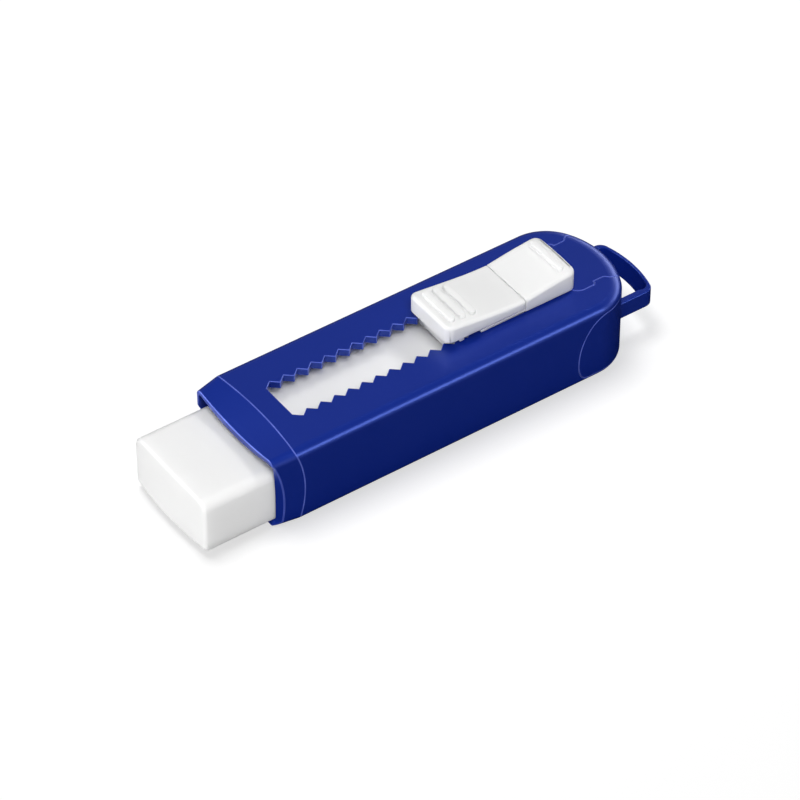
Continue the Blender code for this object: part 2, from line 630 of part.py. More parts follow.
def pad_form(inner_x, outer_x, low, crest):
    """One pad of the slider, with rounded outer corners and rounded upper edges."""
    half = SLIDER_WIDTH / 2
    outward = 1 if outer_x > inner_x else -1
    corner_x = outer_x - outward * PAD_CORNER_RADIUS
    corner_y = half - PAD_CORNER_RADIUS
    quarter = arc((0.0, 0.0), PAD_CORNER_RADIUS, math.pi / 2, 0.0, EDGE_STEPS)
    near = [(corner_x + outward * x, -corner_y - y) for x, y in quarter]
    outline = [(inner_x, -half)] + near + [(x, -y) for x, y in reversed(near)] + [(inner_x, half)]
    form = prism(outline, low, SLEEVE_HEIGHT + PAD_DIP)
    for step in range(1, CURVE_STEPS):
        x = inner_x + (outer_x - inner_x) * step / CURVE_STEPS
        slice_front(form, (x, 0, 0), (1, 0, 0), REAR_X)
    for vert in form.verts:
        if vert.co.z > low + FIT_GAP:
            vert.co.z = pad_height(vert.co.x, inner_x, outer_x, crest)
    form.normal_update()
    upper_edges = []
    for edge in form.edges:
        tilts = sorted(abs(face.normal.z) for face in edge.link_faces)
        clear_of_crack = max(abs(vert.co.x - inner_x) for vert in edge.verts) > FIT_GAP
        if tilts[0] < 0.3 and tilts[1] > 0.7 and edge.verts[0].co.z > low + FIT_GAP and clear_of_crack:
            upper_edges.append(edge)
    round_edges(form, upper_edges, PAD_EDGE_RADIUS)
    split_twisted(form)
    return form


def rib_forms(inner_x, outer_x, crest, count):
    """Raised bars across a pad, counted in from its outer end."""
    inward = -1 if outer_x > inner_x else 1
    forms = []
    for index in range(count):
        x = outer_x + inward * (RIB_SETBACK + index * RIB_PITCH)
        surface = pad_height(x, inner_x, outer_x, crest)
        form = box((x - RIB_WIDTH / 2, -RIB_LENGTH / 2, surface - RIB_WIDTH),
                   (x + RIB_WIDTH / 2, RIB_LENGTH / 2, surface + RIB_HEIGHT))
        round_edges(form, [edge for edge in form.edges if min(v.co.z for v in edge.verts) > surface],
                    RIB_HEIGHT / 2, 2)
        forms.append(form)
    return forms


def make_slider():
    """White slider: the rear pad, the plate under the button and the hooked stem."""
    rear_pad = pad_form(PAD_FRONT_X, PAD_REAR_X, PLATE_LOW + PAD_RELIEF, REAR_PAD_CREST)
    slider = add_piece("slider", rear_pad, (0.80, 0.80, 0.79), 0.35)
    plate_half = SLIDER_WIDTH / 2 - PLATE_INSET
    plate = box((CRACK_X - PLATE_LENGTH, -plate_half, PLATE_LOW),
                (PAD_REAR_X - PAD_CORNER_RADIUS, plate_half, PLATE_TOP))
    stem_low = HOLDER_TOP + FIT_GAP
    stem = box((STEM_REAR_X - STEM_LENGTH, -STEM_HALF, stem_low),
               (STEM_REAR_X, STEM_HALF, PLATE_LOW + PLATE_THICKNESS / 2))
    hook_half = STEM_HALF - FIT_GAP
    barb_top = HOLDER_LOW - FIT_GAP
    shank_x = HOOK_LENGTH / 2
    barb_x = shank_x + HOOK_BARB
    hook_profile = [(HOOK_X - shank_x, stem_low + PLATE_THICKNESS), (HOOK_X - shank_x, barb_top),
                    (HOOK_X - barb_x, barb_top), (HOOK_X - shank_x, barb_top - HOOK_BARB_HEIGHT),
                    (HOOK_X + shank_x, barb_top - HOOK_BARB_HEIGHT), (HOOK_X + barb_x, barb_top),
                    (HOOK_X + shank_x, barb_top), (HOOK_X + shank_x, stem_low + PLATE_THICKNESS)]
    hook = prism(hook_profile, -hook_half, hook_half, sideways)
    ribs = gather(rib_forms(PAD_FRONT_X, PAD_REAR_X, REAR_PAD_CREST, 1))
    for name, form in {"plate": plate, "stem": stem, "hook": hook, "rear_rib": ribs}.items():
        combine(slider, add_helper(name, form), 'UNION')


def make_thumb_button():
    """White front pad: hollow underneath, with three ribs on top and a foot on each side."""
    front_pad = pad_form(BUTTON_REAR_X, BUTTON_FRONT_X, BUTTON_LOW, BUTTON_CREST)
    button = add_piece("thumb_button", front_pad, (0.80, 0.80, 0.79), 0.35)
    half = SLIDER_WIDTH / 2 - BUTTON_WALL
    pocket = box((BUTTON_FRONT_X + BUTTON_WALL, -half, BUTTON_LOW - CUTTER_REACH),
                 (BUTTON_REAR_X - BUTTON_WALL, half, BUTTON_LOW + BUTTON_POCKET))
    foot_x = BUTTON_FRONT_X + FOOT_SETBACK
    outer = SLIDER_WIDTH / 2 - PLATE_INSET
    feet = []
    for low_y, high_y in ((-outer, FOOT_WIDTH - outer), (outer - FOOT_WIDTH, outer)):
        feet.append(box((foot_x - FOOT_LENGTH / 2, low_y, BUTTON_LOW - FOOT_DROP),
                        (foot_x + FOOT_LENGTH / 2, high_y, BUTTON_LOW + FOOT_DROP)))
    ribs = gather(rib_forms(BUTTON_REAR_X, BUTTON_FRONT_X, BUTTON_CREST, RIB_COUNT))
    combine(button, add_helper("button_pocket", pocket), 'DIFFERENCE')
    combine(button, add_helper("feet", gather(feet)), 'UNION')
    combine(button, add_helper("front_ribs", ribs), 'UNION')


def latch_outline():
    """The latch's teeth seen from above: two V teeth a side, clear of the notches."""
    slant = math.hypot(TOOTH_PITCH, SLOT_ROOT_WIDTH - SLOT_TIP_WIDTH) / TOOTH_PITCH
    half_tooth = SLOT_ROOT_WIDTH / 2 - FIT_GAP * slant
    half_valley = SLOT_TIP_WIDTH / 2 - FIT_GAP * slant
    near = [(LATCH_X - TOOTH_PITCH + FIT_GAP, -half_valley)]
    for root_x in (LATCH_X - TOOTH_PITCH / 2, LATCH_X + TOOTH_PITCH / 2):
        near += [(root_x, -half_tooth), (root_x + TOOTH_PITCH / 2, -half_valley)]
    return near + [(x, -y) for x, y in reversed(near)]


def make_latch_spring():
    """White latch: a toothed plate under the slot, its post and a leaf that springs the button."""
    teeth = prism(latch_outline(), INNER_TOP - LATCH_DEPTH, INNER_TOP + LATCH_ENGAGEMENT)
    latch = add_piece("latch_spring", teeth, (0.78, 0.78, 0.77), 0.4)
    half = LATCH_POST_WIDTH / 2
    post_top = BUTTON_LOW + BUTTON_POCKET - FIT_GAP
    post = box((LATCH_X - LATCH_POST_LENGTH / 2, -half, INNER_TOP),
               (LATCH_X + LATCH_POST_LENGTH / 2, half, post_top))
    leaf_low = PLATE_TOP + FIT_GAP
    leaf = box((LATCH_X, -half, leaf_low),
               (LATCH_X + LATCH_POST_LENGTH / 2 + LEAF_LENGTH, half, leaf_low + LEAF_THICKNESS))
    combine(latch, add_helper("latch_post", post), 'UNION')
    combine(latch, add_helper("latch_leaf", leaf), 'UNION')


def main():
    """Clear the scene and make every piece."""
    for old in list(bpy.data.objects):
        bpy.data.objects.remove(old, do_unlink=True)
    make_sleeve()
    make_rear_cap()
    make_eraser_block()
    make_eraser_holder()
    make_slider()
    make_thumb_button()
    make_latch_spring()


main()
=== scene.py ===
"""Eraser in a sliding sleeve: its looks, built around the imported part.

X runs along the sleeve: the eraser's tip points to -X and the hanging loop to +X. Z is up.
Forms are shaped in millimetres and become metres when they are finished.
"""
from __future__ import annotations

import logging
import math
from collections.abc import Callable, Sequence
from dataclasses import dataclass
from enum import Enum
from functools import cache
from typing import Any

import bmesh
import bpy
from bmesh.types import BMEdge, BMesh, BMFace, BMVert
from mathutils import Matrix, Vector
from mathutils.geometry import interpolate_bezier


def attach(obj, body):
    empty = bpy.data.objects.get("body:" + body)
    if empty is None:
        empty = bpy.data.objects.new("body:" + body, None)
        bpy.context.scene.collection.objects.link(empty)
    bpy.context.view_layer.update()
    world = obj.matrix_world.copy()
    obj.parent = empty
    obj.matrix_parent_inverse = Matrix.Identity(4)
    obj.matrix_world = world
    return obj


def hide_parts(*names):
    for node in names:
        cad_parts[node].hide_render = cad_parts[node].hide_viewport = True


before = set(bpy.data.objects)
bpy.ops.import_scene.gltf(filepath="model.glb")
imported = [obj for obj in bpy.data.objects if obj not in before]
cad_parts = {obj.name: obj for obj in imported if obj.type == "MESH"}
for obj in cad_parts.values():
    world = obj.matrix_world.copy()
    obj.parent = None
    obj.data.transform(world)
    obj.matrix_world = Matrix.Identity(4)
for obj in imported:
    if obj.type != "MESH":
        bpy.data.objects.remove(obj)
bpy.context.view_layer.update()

Point = Sequence[float]
Colour = tuple[float, float, float]

LOG = logging.getLogger("eraser")
MM = 0.001
DECK = 16.6               # height of the sleeve's top, in millimetres
ROOF = 15.0               # height of its hollow's roof
NOTCH_PITCH = 3.0         # from one notch of the slot to the next
PRONG_SPACING = 10.0      # from one prong of the holder to the other
WELD = 0.002              # corners closer than this become one
CUT_REACH = 3.0           # how far cutting forms stand past what they cut
EDGE_HIGHLIGHT_AND_WEAR_MARK = "edge"        # face attribute that marks edges painted lighter: painted highlights, partly wear on white pieces
RAW_PLACE = "raw"         # corner attribute that keeps its place on the straight body
LIP_HIGHLIGHT_TAG = 2.0             # stands for a lip's painted highlight until its faces are known
FLAT_TILT = 1.0           # faces closer than this to level or upright count as flat, in degrees
UPRIGHT = 0.3             # faces whose normals rise by less stand upright
LEVEL = 0.7               # faces whose normals rise by more lie level
SHADE_TURN = 40.0         # edges that turn by more are shaded sharp, in degrees
CUT_TURN = 35.0           # edges of notches, teeth and joints that turn by more are rounded
CORNER_TURN = 50.0        # corners of plain white blocks that turn by more are rounded
EDGE_STEPS = 2            # facets across a fine rounding
ROUND_STEPS = 4           # facets across a wider one
ROD_SIDES = 24            # facets round a bar
EDGE_WEAR_AND_HIGHLIGHT = 0.5                # how far the edges of white plastic are painted lighter: wear and a painted highlight
MIX_INPUTS = (0, 6, 7)    # where a colour mix takes its share and its two colours
MIX_OUTPUT = 2            # where it puts out the mixed colour
WHITE = (1.0, 1.0, 1.0)


class Merge(Enum):
    """How one form acts on another."""

    CUT = "DIFFERENCE"
    ADD = "UNION"
    KEEP = "INTERSECT"


class Plane(Enum):
    """The plane that an outline is drawn on."""

    PLAN = "plan"
    SIDE = "side"


class Axis(Enum):
    """An axis of the part."""

    X = (1.0, 0.0, 0.0)
    Y = (0.0, 1.0, 0.0)
    Z = (0.0, 0.0, 1.0)


class Reach(Enum):
    """What a lamp lights: the floor is left out, or taken alone."""

    OBJECT = "EXCLUDE"
    FLOOR = "INCLUDE"


class Rays(Enum):
    """What a lamp gives: plain light or a gloss."""

    LIGHT = "light"
    GLOSS = "gloss"


def between(start: float, end: float, share: float) -> float:
    """Value part of the way from one to another."""
    return start + (end - start) * share


def rgba(colour: Colour) -> tuple[float, float, float, float]:
    """Colour with full cover."""
    return (*colour, 1.0)


def put(name: str, data: bpy.types.ID) -> bpy.types.Object:
    """New object in the scene.

    Args:
        name: its name.
        data: its mesh, lamp or camera.

    Returns:
        The object.
    """
    made = bpy.data.objects.new(name, data)
    bpy.context.scene.collection.objects.link(made)
    return made


class Form:
    """A closed form in millimetres, shaped step by step with mesh operators."""

    def __init__(self, mesh: BMesh) -> None:
        """Wrap a mesh.

        Args:
            mesh: the mesh to shape.
        """
        self.mesh = mesh

    @classmethod
    def box(cls, low: Point, high: Point) -> Form:
        """Box between two corners.

        Args:
            low: lowest corner.
            high: highest corner.

        Returns:
            The box.
        """
        mesh = bmesh.new()
        bmesh.ops.create_cube(mesh, size=1.0)
        bmesh.ops.scale(mesh, vec=Vector(high) - Vector(low), verts=mesh.verts)
        bmesh.ops.translate(mesh, vec=(Vector(high) + Vector(low)) / 2, verts=mesh.verts)
        return cls(mesh)

    @classmethod
    def rod(cls, start: Point, radius: float, end_radius: float, length: float) -> Form:
        """Round bar along -X that tapers to its end.

        Args:
            start: middle of the thick end.
            radius: radius at the start.
            end_radius: radius at the far end.
            length: length of the bar.

        Returns:
            The bar.
        """
        mesh = bmesh.new()
        middle = Vector(start) - Vector((length / 2, 0.0, 0.0))
        place = Matrix.Translation(middle) @ Matrix.Rotation(-math.pi / 2, 4, 'Y')
        bmesh.ops.create_cone(mesh, cap_ends=True, segments=ROD_SIDES, radius1=radius,
                              radius2=end_radius, depth=length, matrix=place)
        return cls(mesh)

    @property
    def marks(self) -> Any:
        """Face layer that marks edges painted lighter as painted highlights, partly wear, made when first
        asked for.
        """
        layers = self.mesh.faces.layers.float
        return layers.get(EDGE_HIGHLIGHT_AND_WEAR_MARK) or layers.new(EDGE_HIGHLIGHT_AND_WEAR_MARK)

    def edges(self, test: Callable[[BMEdge], bool]) -> list[BMEdge]:
        """Edges that pass a test."""
        return [edge for edge in self.mesh.edges if test(edge)]

    def sharp_edges(self, degrees: float, test: Callable[[BMEdge], bool] | None = None) -> list[BMEdge]:
        """Outward edges that turn by more than an angle.

        Args:
            degrees: least angle between the two faces.
            test: a further test, or None.

        Returns:
            The edges found.
        """
        self.mesh.normal_update()
        limit = math.radians(degrees)
        return [edge for edge in self.mesh.edges if edge.is_manifold
                and edge.calc_face_angle_signed() > limit and (test is None or test(edge))]

    def slice(self, axis: Axis, place: float, test: Callable[[BMFace], bool] | None = None) -> Form:
        """Cut the faces across an axis and keep both sides.

        Args:
            axis: the axis.
            place: where along it the faces are cut.
            test: which faces are cut, or None for all.

        Returns:
            This form.
        """
        faces = [face for face in self.mesh.faces if test is None or test(face)]
        edges = {edge for face in faces for edge in face.edges}
        verts = {vert for face in faces for vert in face.verts}
        bmesh.ops.bisect_plane(self.mesh, geom=[*faces, *edges, *verts], plane_co=Vector(axis.value) * place,
                               plane_no=axis.value, dist=WELD)
        return self

    def bevel(self, edges: list[BMEdge], width: float, segments: int, mark: float = 0.0) -> Form:
        """Round edges.

        Args:
            edges: the edges.
            width: width taken from each face.
            segments: facets across the rounding.
            mark: how far the new faces are painted lighter as a painted highlight, partly wear, from 0 to 1.

        Returns:
            This form.
        """
        made = bmesh.ops.bevel(self.mesh, geom=edges, offset=width, offset_type='OFFSET', segments=segments,
                               profile=0.5, affect='EDGES', clamp_overlap=False, material=-1)
        marks = self.marks
        for face in made["faces"]:
            if face.is_valid:
                face[marks] = mark
        return self

    def round_corners(self, width: float) -> Form:
        """Round the corners of a white piece and paint them a little lighter, as wear and a painted
        highlight.
        """
        return self.bevel(self.sharp_edges(CORNER_TURN), width, EDGE_STEPS, EDGE_WEAR_AND_HIGHLIGHT)

    def face_out(self) -> Form:
        """Turn every face outwards.

        Returns:
            This form.
        """
        self.mesh.normal_update()
        bmesh.ops.recalc_face_normals(self.mesh, faces=self.mesh.faces)
        return self

    def combine(self, other: Form, how: Merge) -> Form:
        """Cut, add or keep by another form, which is used up.

        Args:
            other: the other form.
            how: what it does to this one.

        Returns:
            This form.
        """
        host, tool = self.show("host"), other.show("tool")
        step = host.modifiers.new("step", 'BOOLEAN')
        step.operation = how.value
        step.solver = 'EXACT'
        step.object = tool
        bpy.context.view_layer.update()
        result = host.evaluated_get(bpy.context.evaluated_depsgraph_get())
        self.mesh.clear()
        self.mesh.from_mesh(result.to_mesh())
        result.to_mesh_clear()
        for item in (host, tool):
            data = item.data
            bpy.data.objects.remove(item, do_unlink=True)
            bpy.data.meshes.remove(data)
        other.mesh.free()
        bmesh.ops.remove_doubles(self.mesh, verts=self.mesh.verts, dist=WELD)
        return self

    def add_box(self, low: Point, high: Point) -> Form:
        """Join a box on, given by two corners."""
        return self.combine(Form.box(low, high), Merge.ADD)

    def cut_box(self, low: Point, high: Point) -> Form:
        """Cut a box out, given by two corners."""
        return self.combine(Form.box(low, high), Merge.CUT)

    def show(self, name: str) -> bpy.types.Object:
        """Object of this form as it stands.

        Args:
            name: the object's name.

        Returns:
            The object.
        """
        data = bpy.data.meshes.new(name)
        self.mesh.to_mesh(data)
        return put(name, data)


class Pen:
    """Draws an outline stroke by stroke, in millimetres. One half of it may be mirrored."""

    def __init__(self, u: float, v: float) -> None:
        """Set the pen down.

        Args:
            u: first coordinate of the start.
            v: second coordinate of the start.
        """
        self.mesh = bmesh.new()
        self.tip: BMVert = self.mesh.verts.new((u, v, 0.0))

    def line(self, u: float, v: float) -> Pen:
        """Straight stroke to a point.

        Args:
            u: first coordinate of the point.
            v: second coordinate of the point.

        Returns:
            This pen.
        """
        drawn = bmesh.ops.extrude_vert_indiv(self.mesh, verts=[self.tip])
        self.tip = drawn["verts"][0]
        self.tip.co = (u, v, 0.0)
        return self

    def arc(self, u: float, v: float, degrees: float, steps: int) -> Pen:
        """Stroke round a centre.

        Args:
            u: first coordinate of the centre.
            v: second coordinate of the centre.
            degrees: angle turned, positive to the left.
            steps: facets of the arc.

        Returns:
            This pen.
        """
        drawn = bmesh.ops.spin(self.mesh, geom=[self.tip], cent=(u, v, 0.0), axis=Axis.Z.value,
                               angle=math.radians(degrees), steps=steps, use_duplicate=False)
        self.tip = next(item for item in drawn["geom_last"] if isinstance(item, BMVert))
        return self

    def curve(self, start_handle: Point, end_handle: Point, end: Point, steps: int) -> Pen:
        """Smooth stroke to a point.

        Args:
            start_handle: where the stroke heads at its start.
            end_handle: where it comes from at its end.
            end: its last point.
            steps: facets of the stroke.

        Returns:
            This pen.
        """
        knots = [self.tip.co.copy(), *(Vector(point).to_3d() for point in (start_handle, end_handle, end))]
        for point in interpolate_bezier(*knots, steps + 1)[1:]:
            self.line(point.x, point.y)
        return self

    def solid(self, low: float, high: float, plane: Plane = Plane.PLAN, mirrored: bool = True) -> Form:
        """Close the outline and draw it out.

        Args:
            low: level of the first end.
            high: level of the second end.
            plane: plane of the outline.
            mirrored: whether the strokes are one half, to be mirrored across v = 0.

        Returns:
            The closed form.
        """
        mesh = self.mesh
        if mirrored:
            bmesh.ops.mirror(mesh, geom=[*mesh.verts, *mesh.edges], axis='Y', merge_dist=WELD)
        else:
            first = next(vert for vert in mesh.verts if len(vert.link_edges) == 1 and vert != self.tip)
            mesh.edges.new((self.tip, first))
        filled = bmesh.ops.edgeloop_fill(mesh, edges=mesh.edges[:])
        drawn = bmesh.ops.extrude_face_region(mesh, geom=filled["faces"], use_keep_orig=True)
        lifted = [item for item in drawn["geom"] if isinstance(item, BMVert)]
        bmesh.ops.translate(mesh, verts=lifted, vec=(0.0, 0.0, high - low))
        bmesh.ops.translate(mesh, verts=mesh.verts, vec=(0.0, 0.0, low))
        if plane is Plane.SIDE:
            turn = Matrix.Rotation(math.pi / 2, 3, 'X')
            bmesh.ops.rotate(mesh, cent=(0.0, 0.0, 0.0), matrix=turn, verts=mesh.verts)
        return Form(mesh).face_out()


class Graph:
    """Short way to write a node tree."""

    def __init__(self, tree: bpy.types.NodeTree) -> None:
        """Wrap a node tree.

        Args:
            tree: the tree to fill.
        """
        self.tree = tree

    @classmethod
    def of(cls, owner: bpy.types.Material | bpy.types.World) -> Graph:
        """Emptied tree of a material or of the surroundings.

        Args:
            owner: what the tree belongs to.

        Returns:
            The graph of its tree.
        """
        owner.use_nodes = True
        owner.node_tree.nodes.clear()
        return cls(owner.node_tree)

    def feed(self, socket: bpy.types.NodeSocket, value: Any) -> None:
        """Give an input what it takes.

        Args:
            socket: the input.
            value: a plain value, or an output socket to link.
        """
        if isinstance(value, bpy.types.NodeSocket):
            self.tree.links.new(value, socket)
        else:
            socket.default_value = value

    def node(self, kind: str, settings: dict[str, Any] | None = None, **inputs: Any) -> bpy.types.Node:
        """Add a node.

        Args:
            kind: the node's type name.
            settings: properties to set on it.
            inputs: a value or an output socket for each named input; _ stands for a space.

        Returns:
            The new node.
        """
        made = self.tree.nodes.new(kind)
        for name, value in (settings or {}).items():
            setattr(made, name, value)
        for name, value in inputs.items():
            self.feed(made.inputs[name.replace("_", " ")], value)
        return made

    def math(self, operation: str, first: Any, second: Any) -> bpy.types.NodeSocket:
        """Arithmetic on two values.

        Args:
            operation: what is done with them.
            first: a number or an output socket.
            second: a number or an output socket.

        Returns:
            The result's socket.
        """
        made = self.node("ShaderNodeMath", {"operation": operation})
        for socket, value in zip(made.inputs, (first, second)):
            self.feed(socket, value)
        return made.outputs[0]

    def blend(self, share: Any, first: Any, second: Any) -> bpy.types.NodeSocket:
        """Mix of two colours.

        Args:
            share: how much of the second colour, as a number or an output socket.
            first: a colour or an output socket.
            second: a colour or an output socket.

        Returns:
            The mixed colour's socket.
        """
        made = self.node("ShaderNodeMix", {"data_type": 'RGBA'})
        for index, value in zip(MIX_INPUTS, (share, first, second)):
            self.feed(made.inputs[index], value)
        return made.outputs[MIX_OUTPUT]

    def spread(self, value: bpy.types.NodeSocket, low: Any = 0.0, high: float = 1.0,
               start: float = 0.0, stop: float = 1.0) -> bpy.types.NodeSocket:
        """Value stretched from one range to another.

        Args:
            value: the value's socket.
            low: the result at the start of the range.
            high: the result at its end.
            start: where the range starts.
            stop: where it ends.

        Returns:
            The result's socket.
        """
        made = self.node("ShaderNodeMapRange", Value=value, From_Min=start, From_Max=stop,
                         To_Min=low, To_Max=high)
        return made.outputs["Result"]

    def noise(self, place: bpy.types.NodeSocket, scale: bpy.types.NodeSocket,
              **settings: float) -> bpy.types.NodeSocket:
        """Soft noise from 0 to 1."""
        return self.node("ShaderNodeTexNoise", Vector=place, Scale=scale, **settings).outputs["Fac"]


class GroupKit:
    """The shared effects, each built once as a node group."""

    @staticmethod
    def start(name: str, outputs: Sequence[str], **inputs: float) -> tuple[Graph, Any]:
        """Start a node group.

        Args:
            name: the group's name.
            outputs: the values that it puts out.
            inputs: the values that it takes besides a place, with their defaults.

        Returns:
            Its graph, and the sockets of what it takes.
        """
        tree = bpy.data.node_groups.new(name, "ShaderNodeTree")
        tree.interface.new_socket("Vector", in_out='INPUT', socket_type='NodeSocketVector')
        for label, value in inputs.items():
            socket = tree.interface.new_socket(label, in_out='INPUT', socket_type='NodeSocketFloat')
            socket.default_value = value
        for label in outputs:
            tree.interface.new_socket(label, in_out='OUTPUT', socket_type='NodeSocketFloat')
        graph = Graph(tree)
        return graph, graph.node("NodeGroupInput").outputs

    @classmethod
    @cache
    def moulded_grain(cls) -> bpy.types.NodeTree:
        """Fine grain of a moulded or cast surface, with broad soft clouds.

        Returns:
            The group.
        """
        graph, given = cls.start("moulded_grain", ("Height", "Clouds"), Grain=5000.0, Cloud=120.0)
        fine = graph.noise(given["Vector"], given["Grain"], Detail=3.0, Roughness=0.6)
        broad = graph.noise(given["Vector"], given["Cloud"], Detail=4.0, Roughness=0.55, Distortion=0.4)
        graph.node("NodeGroupOutput", Height=fine, Clouds=broad)
        return graph.tree

    @classmethod
    @cache
    def edge_highlight_and_wear(cls) -> bpy.types.NodeTree:
        """Edges painted lighter: the marked faces, broken up unevenly. This is a painted highlight, partly
        wear on white pieces.

        Returns:
            The group.
        """
        graph, given = cls.start("edge_highlight_and_wear", ("Mask",), Breakup=400.0, Evenness=0.6)
        mark = graph.node("ShaderNodeAttribute", {"attribute_name": EDGE_HIGHLIGHT_AND_WEAR_MARK}).outputs["Fac"]
        patch = graph.noise(given["Vector"], given["Breakup"], Detail=3.0)
        share = graph.spread(patch, low=given["Evenness"], start=0.3, stop=0.7)
        graph.node("NodeGroupOutput", Mask=graph.math('MULTIPLY', mark, share))
        return graph.tree

    @classmethod
    @cache
    def handling_marks(cls) -> bpy.types.NodeTree:
        """Faint smears and specks left by handling.

        Returns:
            The group.
        """
        graph, given = cls.start("handling_marks", ("Smears", "Specks"), Smear=60.0, Speck=900.0)
        smear = graph.noise(given["Vector"], given["Smear"], Detail=6.0, Roughness=0.65, Distortion=1.2)
        speck = graph.node("ShaderNodeTexVoronoi", Vector=given["Vector"], Scale=given["Speck"],
                           Randomness=1.0).outputs["Distance"]
        graph.node("NodeGroupOutput", Smears=graph.spread(smear, start=0.5, stop=0.75),
                   Specks=graph.spread(speck, low=1.0, high=0.0, start=0.05, stop=0.11))
        return graph.tree


@dataclass(frozen=True)
class Finish:
    """A surface finish: moulded plastic or cast eraser."""

    name: str
    colour: Colour
    cloud_colour: Colour
    # colour painted on marked edges: a painted highlight, partly wear on white pieces
    highlight_and_wear_colour: Colour
    mark_colour: Colour
    roughness: tuple[float, float]
    specular: float
    specular_tint: Colour = WHITE
    index: float = 1.5
    grain_scale: float = 5000.0
    cloud_scale: float = 120.0
    bump: float = 0.2
    bump_depth: float = 0.00004
    smears: float = 0.05
    specks: float = 0.0
    highlight_and_wear_cover: float = 0.5
    scatter: float = 0.0
    scatter_depth: float = 0.003

    def material(self) -> bpy.types.Material:
        """The finish as a material, made once.

        Returns:
            The material.
        """
        found = bpy.data.materials.get(self.name)
        if found:
            return found
        made = bpy.data.materials.new(self.name)
        graph = Graph.of(made)
        place = graph.node("ShaderNodeTexCoord").outputs["Object"]

        def effect(tree: bpy.types.NodeTree, **values: float) -> Any:
            """What a shared effect puts out."""
            return graph.node("ShaderNodeGroup", {"node_tree": tree}, Vector=place, **values).outputs

        grain = effect(GroupKit.moulded_grain(), Grain=self.grain_scale, Cloud=self.cloud_scale)
        edge, marks = effect(GroupKit.edge_highlight_and_wear()), effect(GroupKit.handling_marks())
        shade = graph.blend(grain["Clouds"], rgba(self.colour), rgba(self.cloud_colour))
        # the last layer paints the marked edges lighter: a painted highlight, partly wear on white pieces
        for mask, cover, colour in ((marks["Smears"], self.smears, self.mark_colour),
                                    (marks["Specks"], self.specks, self.mark_colour),
                                    (edge["Mask"], self.highlight_and_wear_cover, self.highlight_and_wear_colour)):
            shade = graph.blend(graph.math('MULTIPLY', mask, cover), shade, rgba(colour))
        relief = graph.node("ShaderNodeBump", Strength=self.bump, Distance=self.bump_depth,
                            Height=grain["Height"])
        surface = graph.node("ShaderNodeBsdfPrincipled", Base_Color=shade,
                             Roughness=graph.spread(grain["Clouds"], *self.roughness),
                             Normal=relief.outputs["Normal"], IOR=self.index,
                             Specular_IOR_Level=self.specular, Specular_Tint=rgba(self.specular_tint),
                             Subsurface_Weight=self.scatter, Subsurface_Radius=WHITE,
                             Subsurface_Scale=self.scatter_depth)
        graph.node("ShaderNodeOutputMaterial", Surface=surface.outputs["BSDF"])
        return made


class Palette:
    """The finishes of this object."""

    # its edge colour, light blue, is a painted highlight on every marked edge
    BLUE_PLASTIC = Finish("blue_moulded_plastic", colour=(0.0030, 0.0168, 0.212),
                          cloud_colour=(0.0034, 0.0182, 0.226), highlight_and_wear_colour=(0.17, 0.23, 0.80),
                          mark_colour=(0.008, 0.024, 0.25), roughness=(0.26, 0.34), specular=1.0,
                          specular_tint=(0.18, 0.30, 1.0), index=1.6, bump=0.12, highlight_and_wear_cover=0.9)
    # its edge colour, a little lighter than the plastic, is wear and a painted highlight
    WHITE_PLASTIC = Finish("white_moulded_plastic", colour=(0.865, 0.867, 0.865),
                           cloud_colour=(0.885, 0.887, 0.885), highlight_and_wear_colour=(0.90, 0.90, 0.90),
                           mark_colour=(0.82, 0.82, 0.82), roughness=(0.30, 0.40), specular=0.35,
                           bump=0.10, scatter=0.8, scatter_depth=0.0012)
    # its edge colour, a little lighter than the vinyl, is wear and a painted highlight
    ERASER_VINYL = Finish("white_eraser_vinyl", colour=(0.85, 0.85, 0.848),
                          cloud_colour=(0.875, 0.875, 0.871), highlight_and_wear_colour=(0.89, 0.89, 0.887),
                          mark_colour=(0.72, 0.72, 0.73), roughness=(0.55, 0.70), specular=0.25,
                          grain_scale=2600.0, cloud_scale=90.0, bump=0.30, smears=0.06, specks=0.10,
                          scatter=0.9, scatter_depth=0.0025)


@dataclass(frozen=True)
class Place:
    """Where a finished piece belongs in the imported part."""

    name: str
    body: str
    node: str
    slot: str


class Piece:
    """A finished piece: its form, its finish and its place."""

    place: Place
    finish: Finish

    def form(self) -> Form:
        """The piece's closed form, in millimetres."""
        raise NotImplementedError

    def publish(self) -> None:
        """Make the object, dress it and put it in its place."""
        form = self.form()
        bmesh.ops.scale(form.mesh, vec=(MM, MM, MM), verts=form.mesh.verts)
        made = form.show(self.place.name)
        form.mesh.free()
        made.data.shade_smooth()
        made.data.set_sharp_from_angle(angle=math.radians(SHADE_TURN))
        made.data.materials.append(self.finish.material())
        normals = made.modifiers.new("even_faces", 'WEIGHTED_NORMAL')
        normals.mode = 'FACE_AREA'
        normals.keep_sharp = True
        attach(made, self.place.body)
        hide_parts(self.place.node)
        LOG.info("%s: %d faces, on %s", self.place.name, len(made.data.polygons), self.place.body)


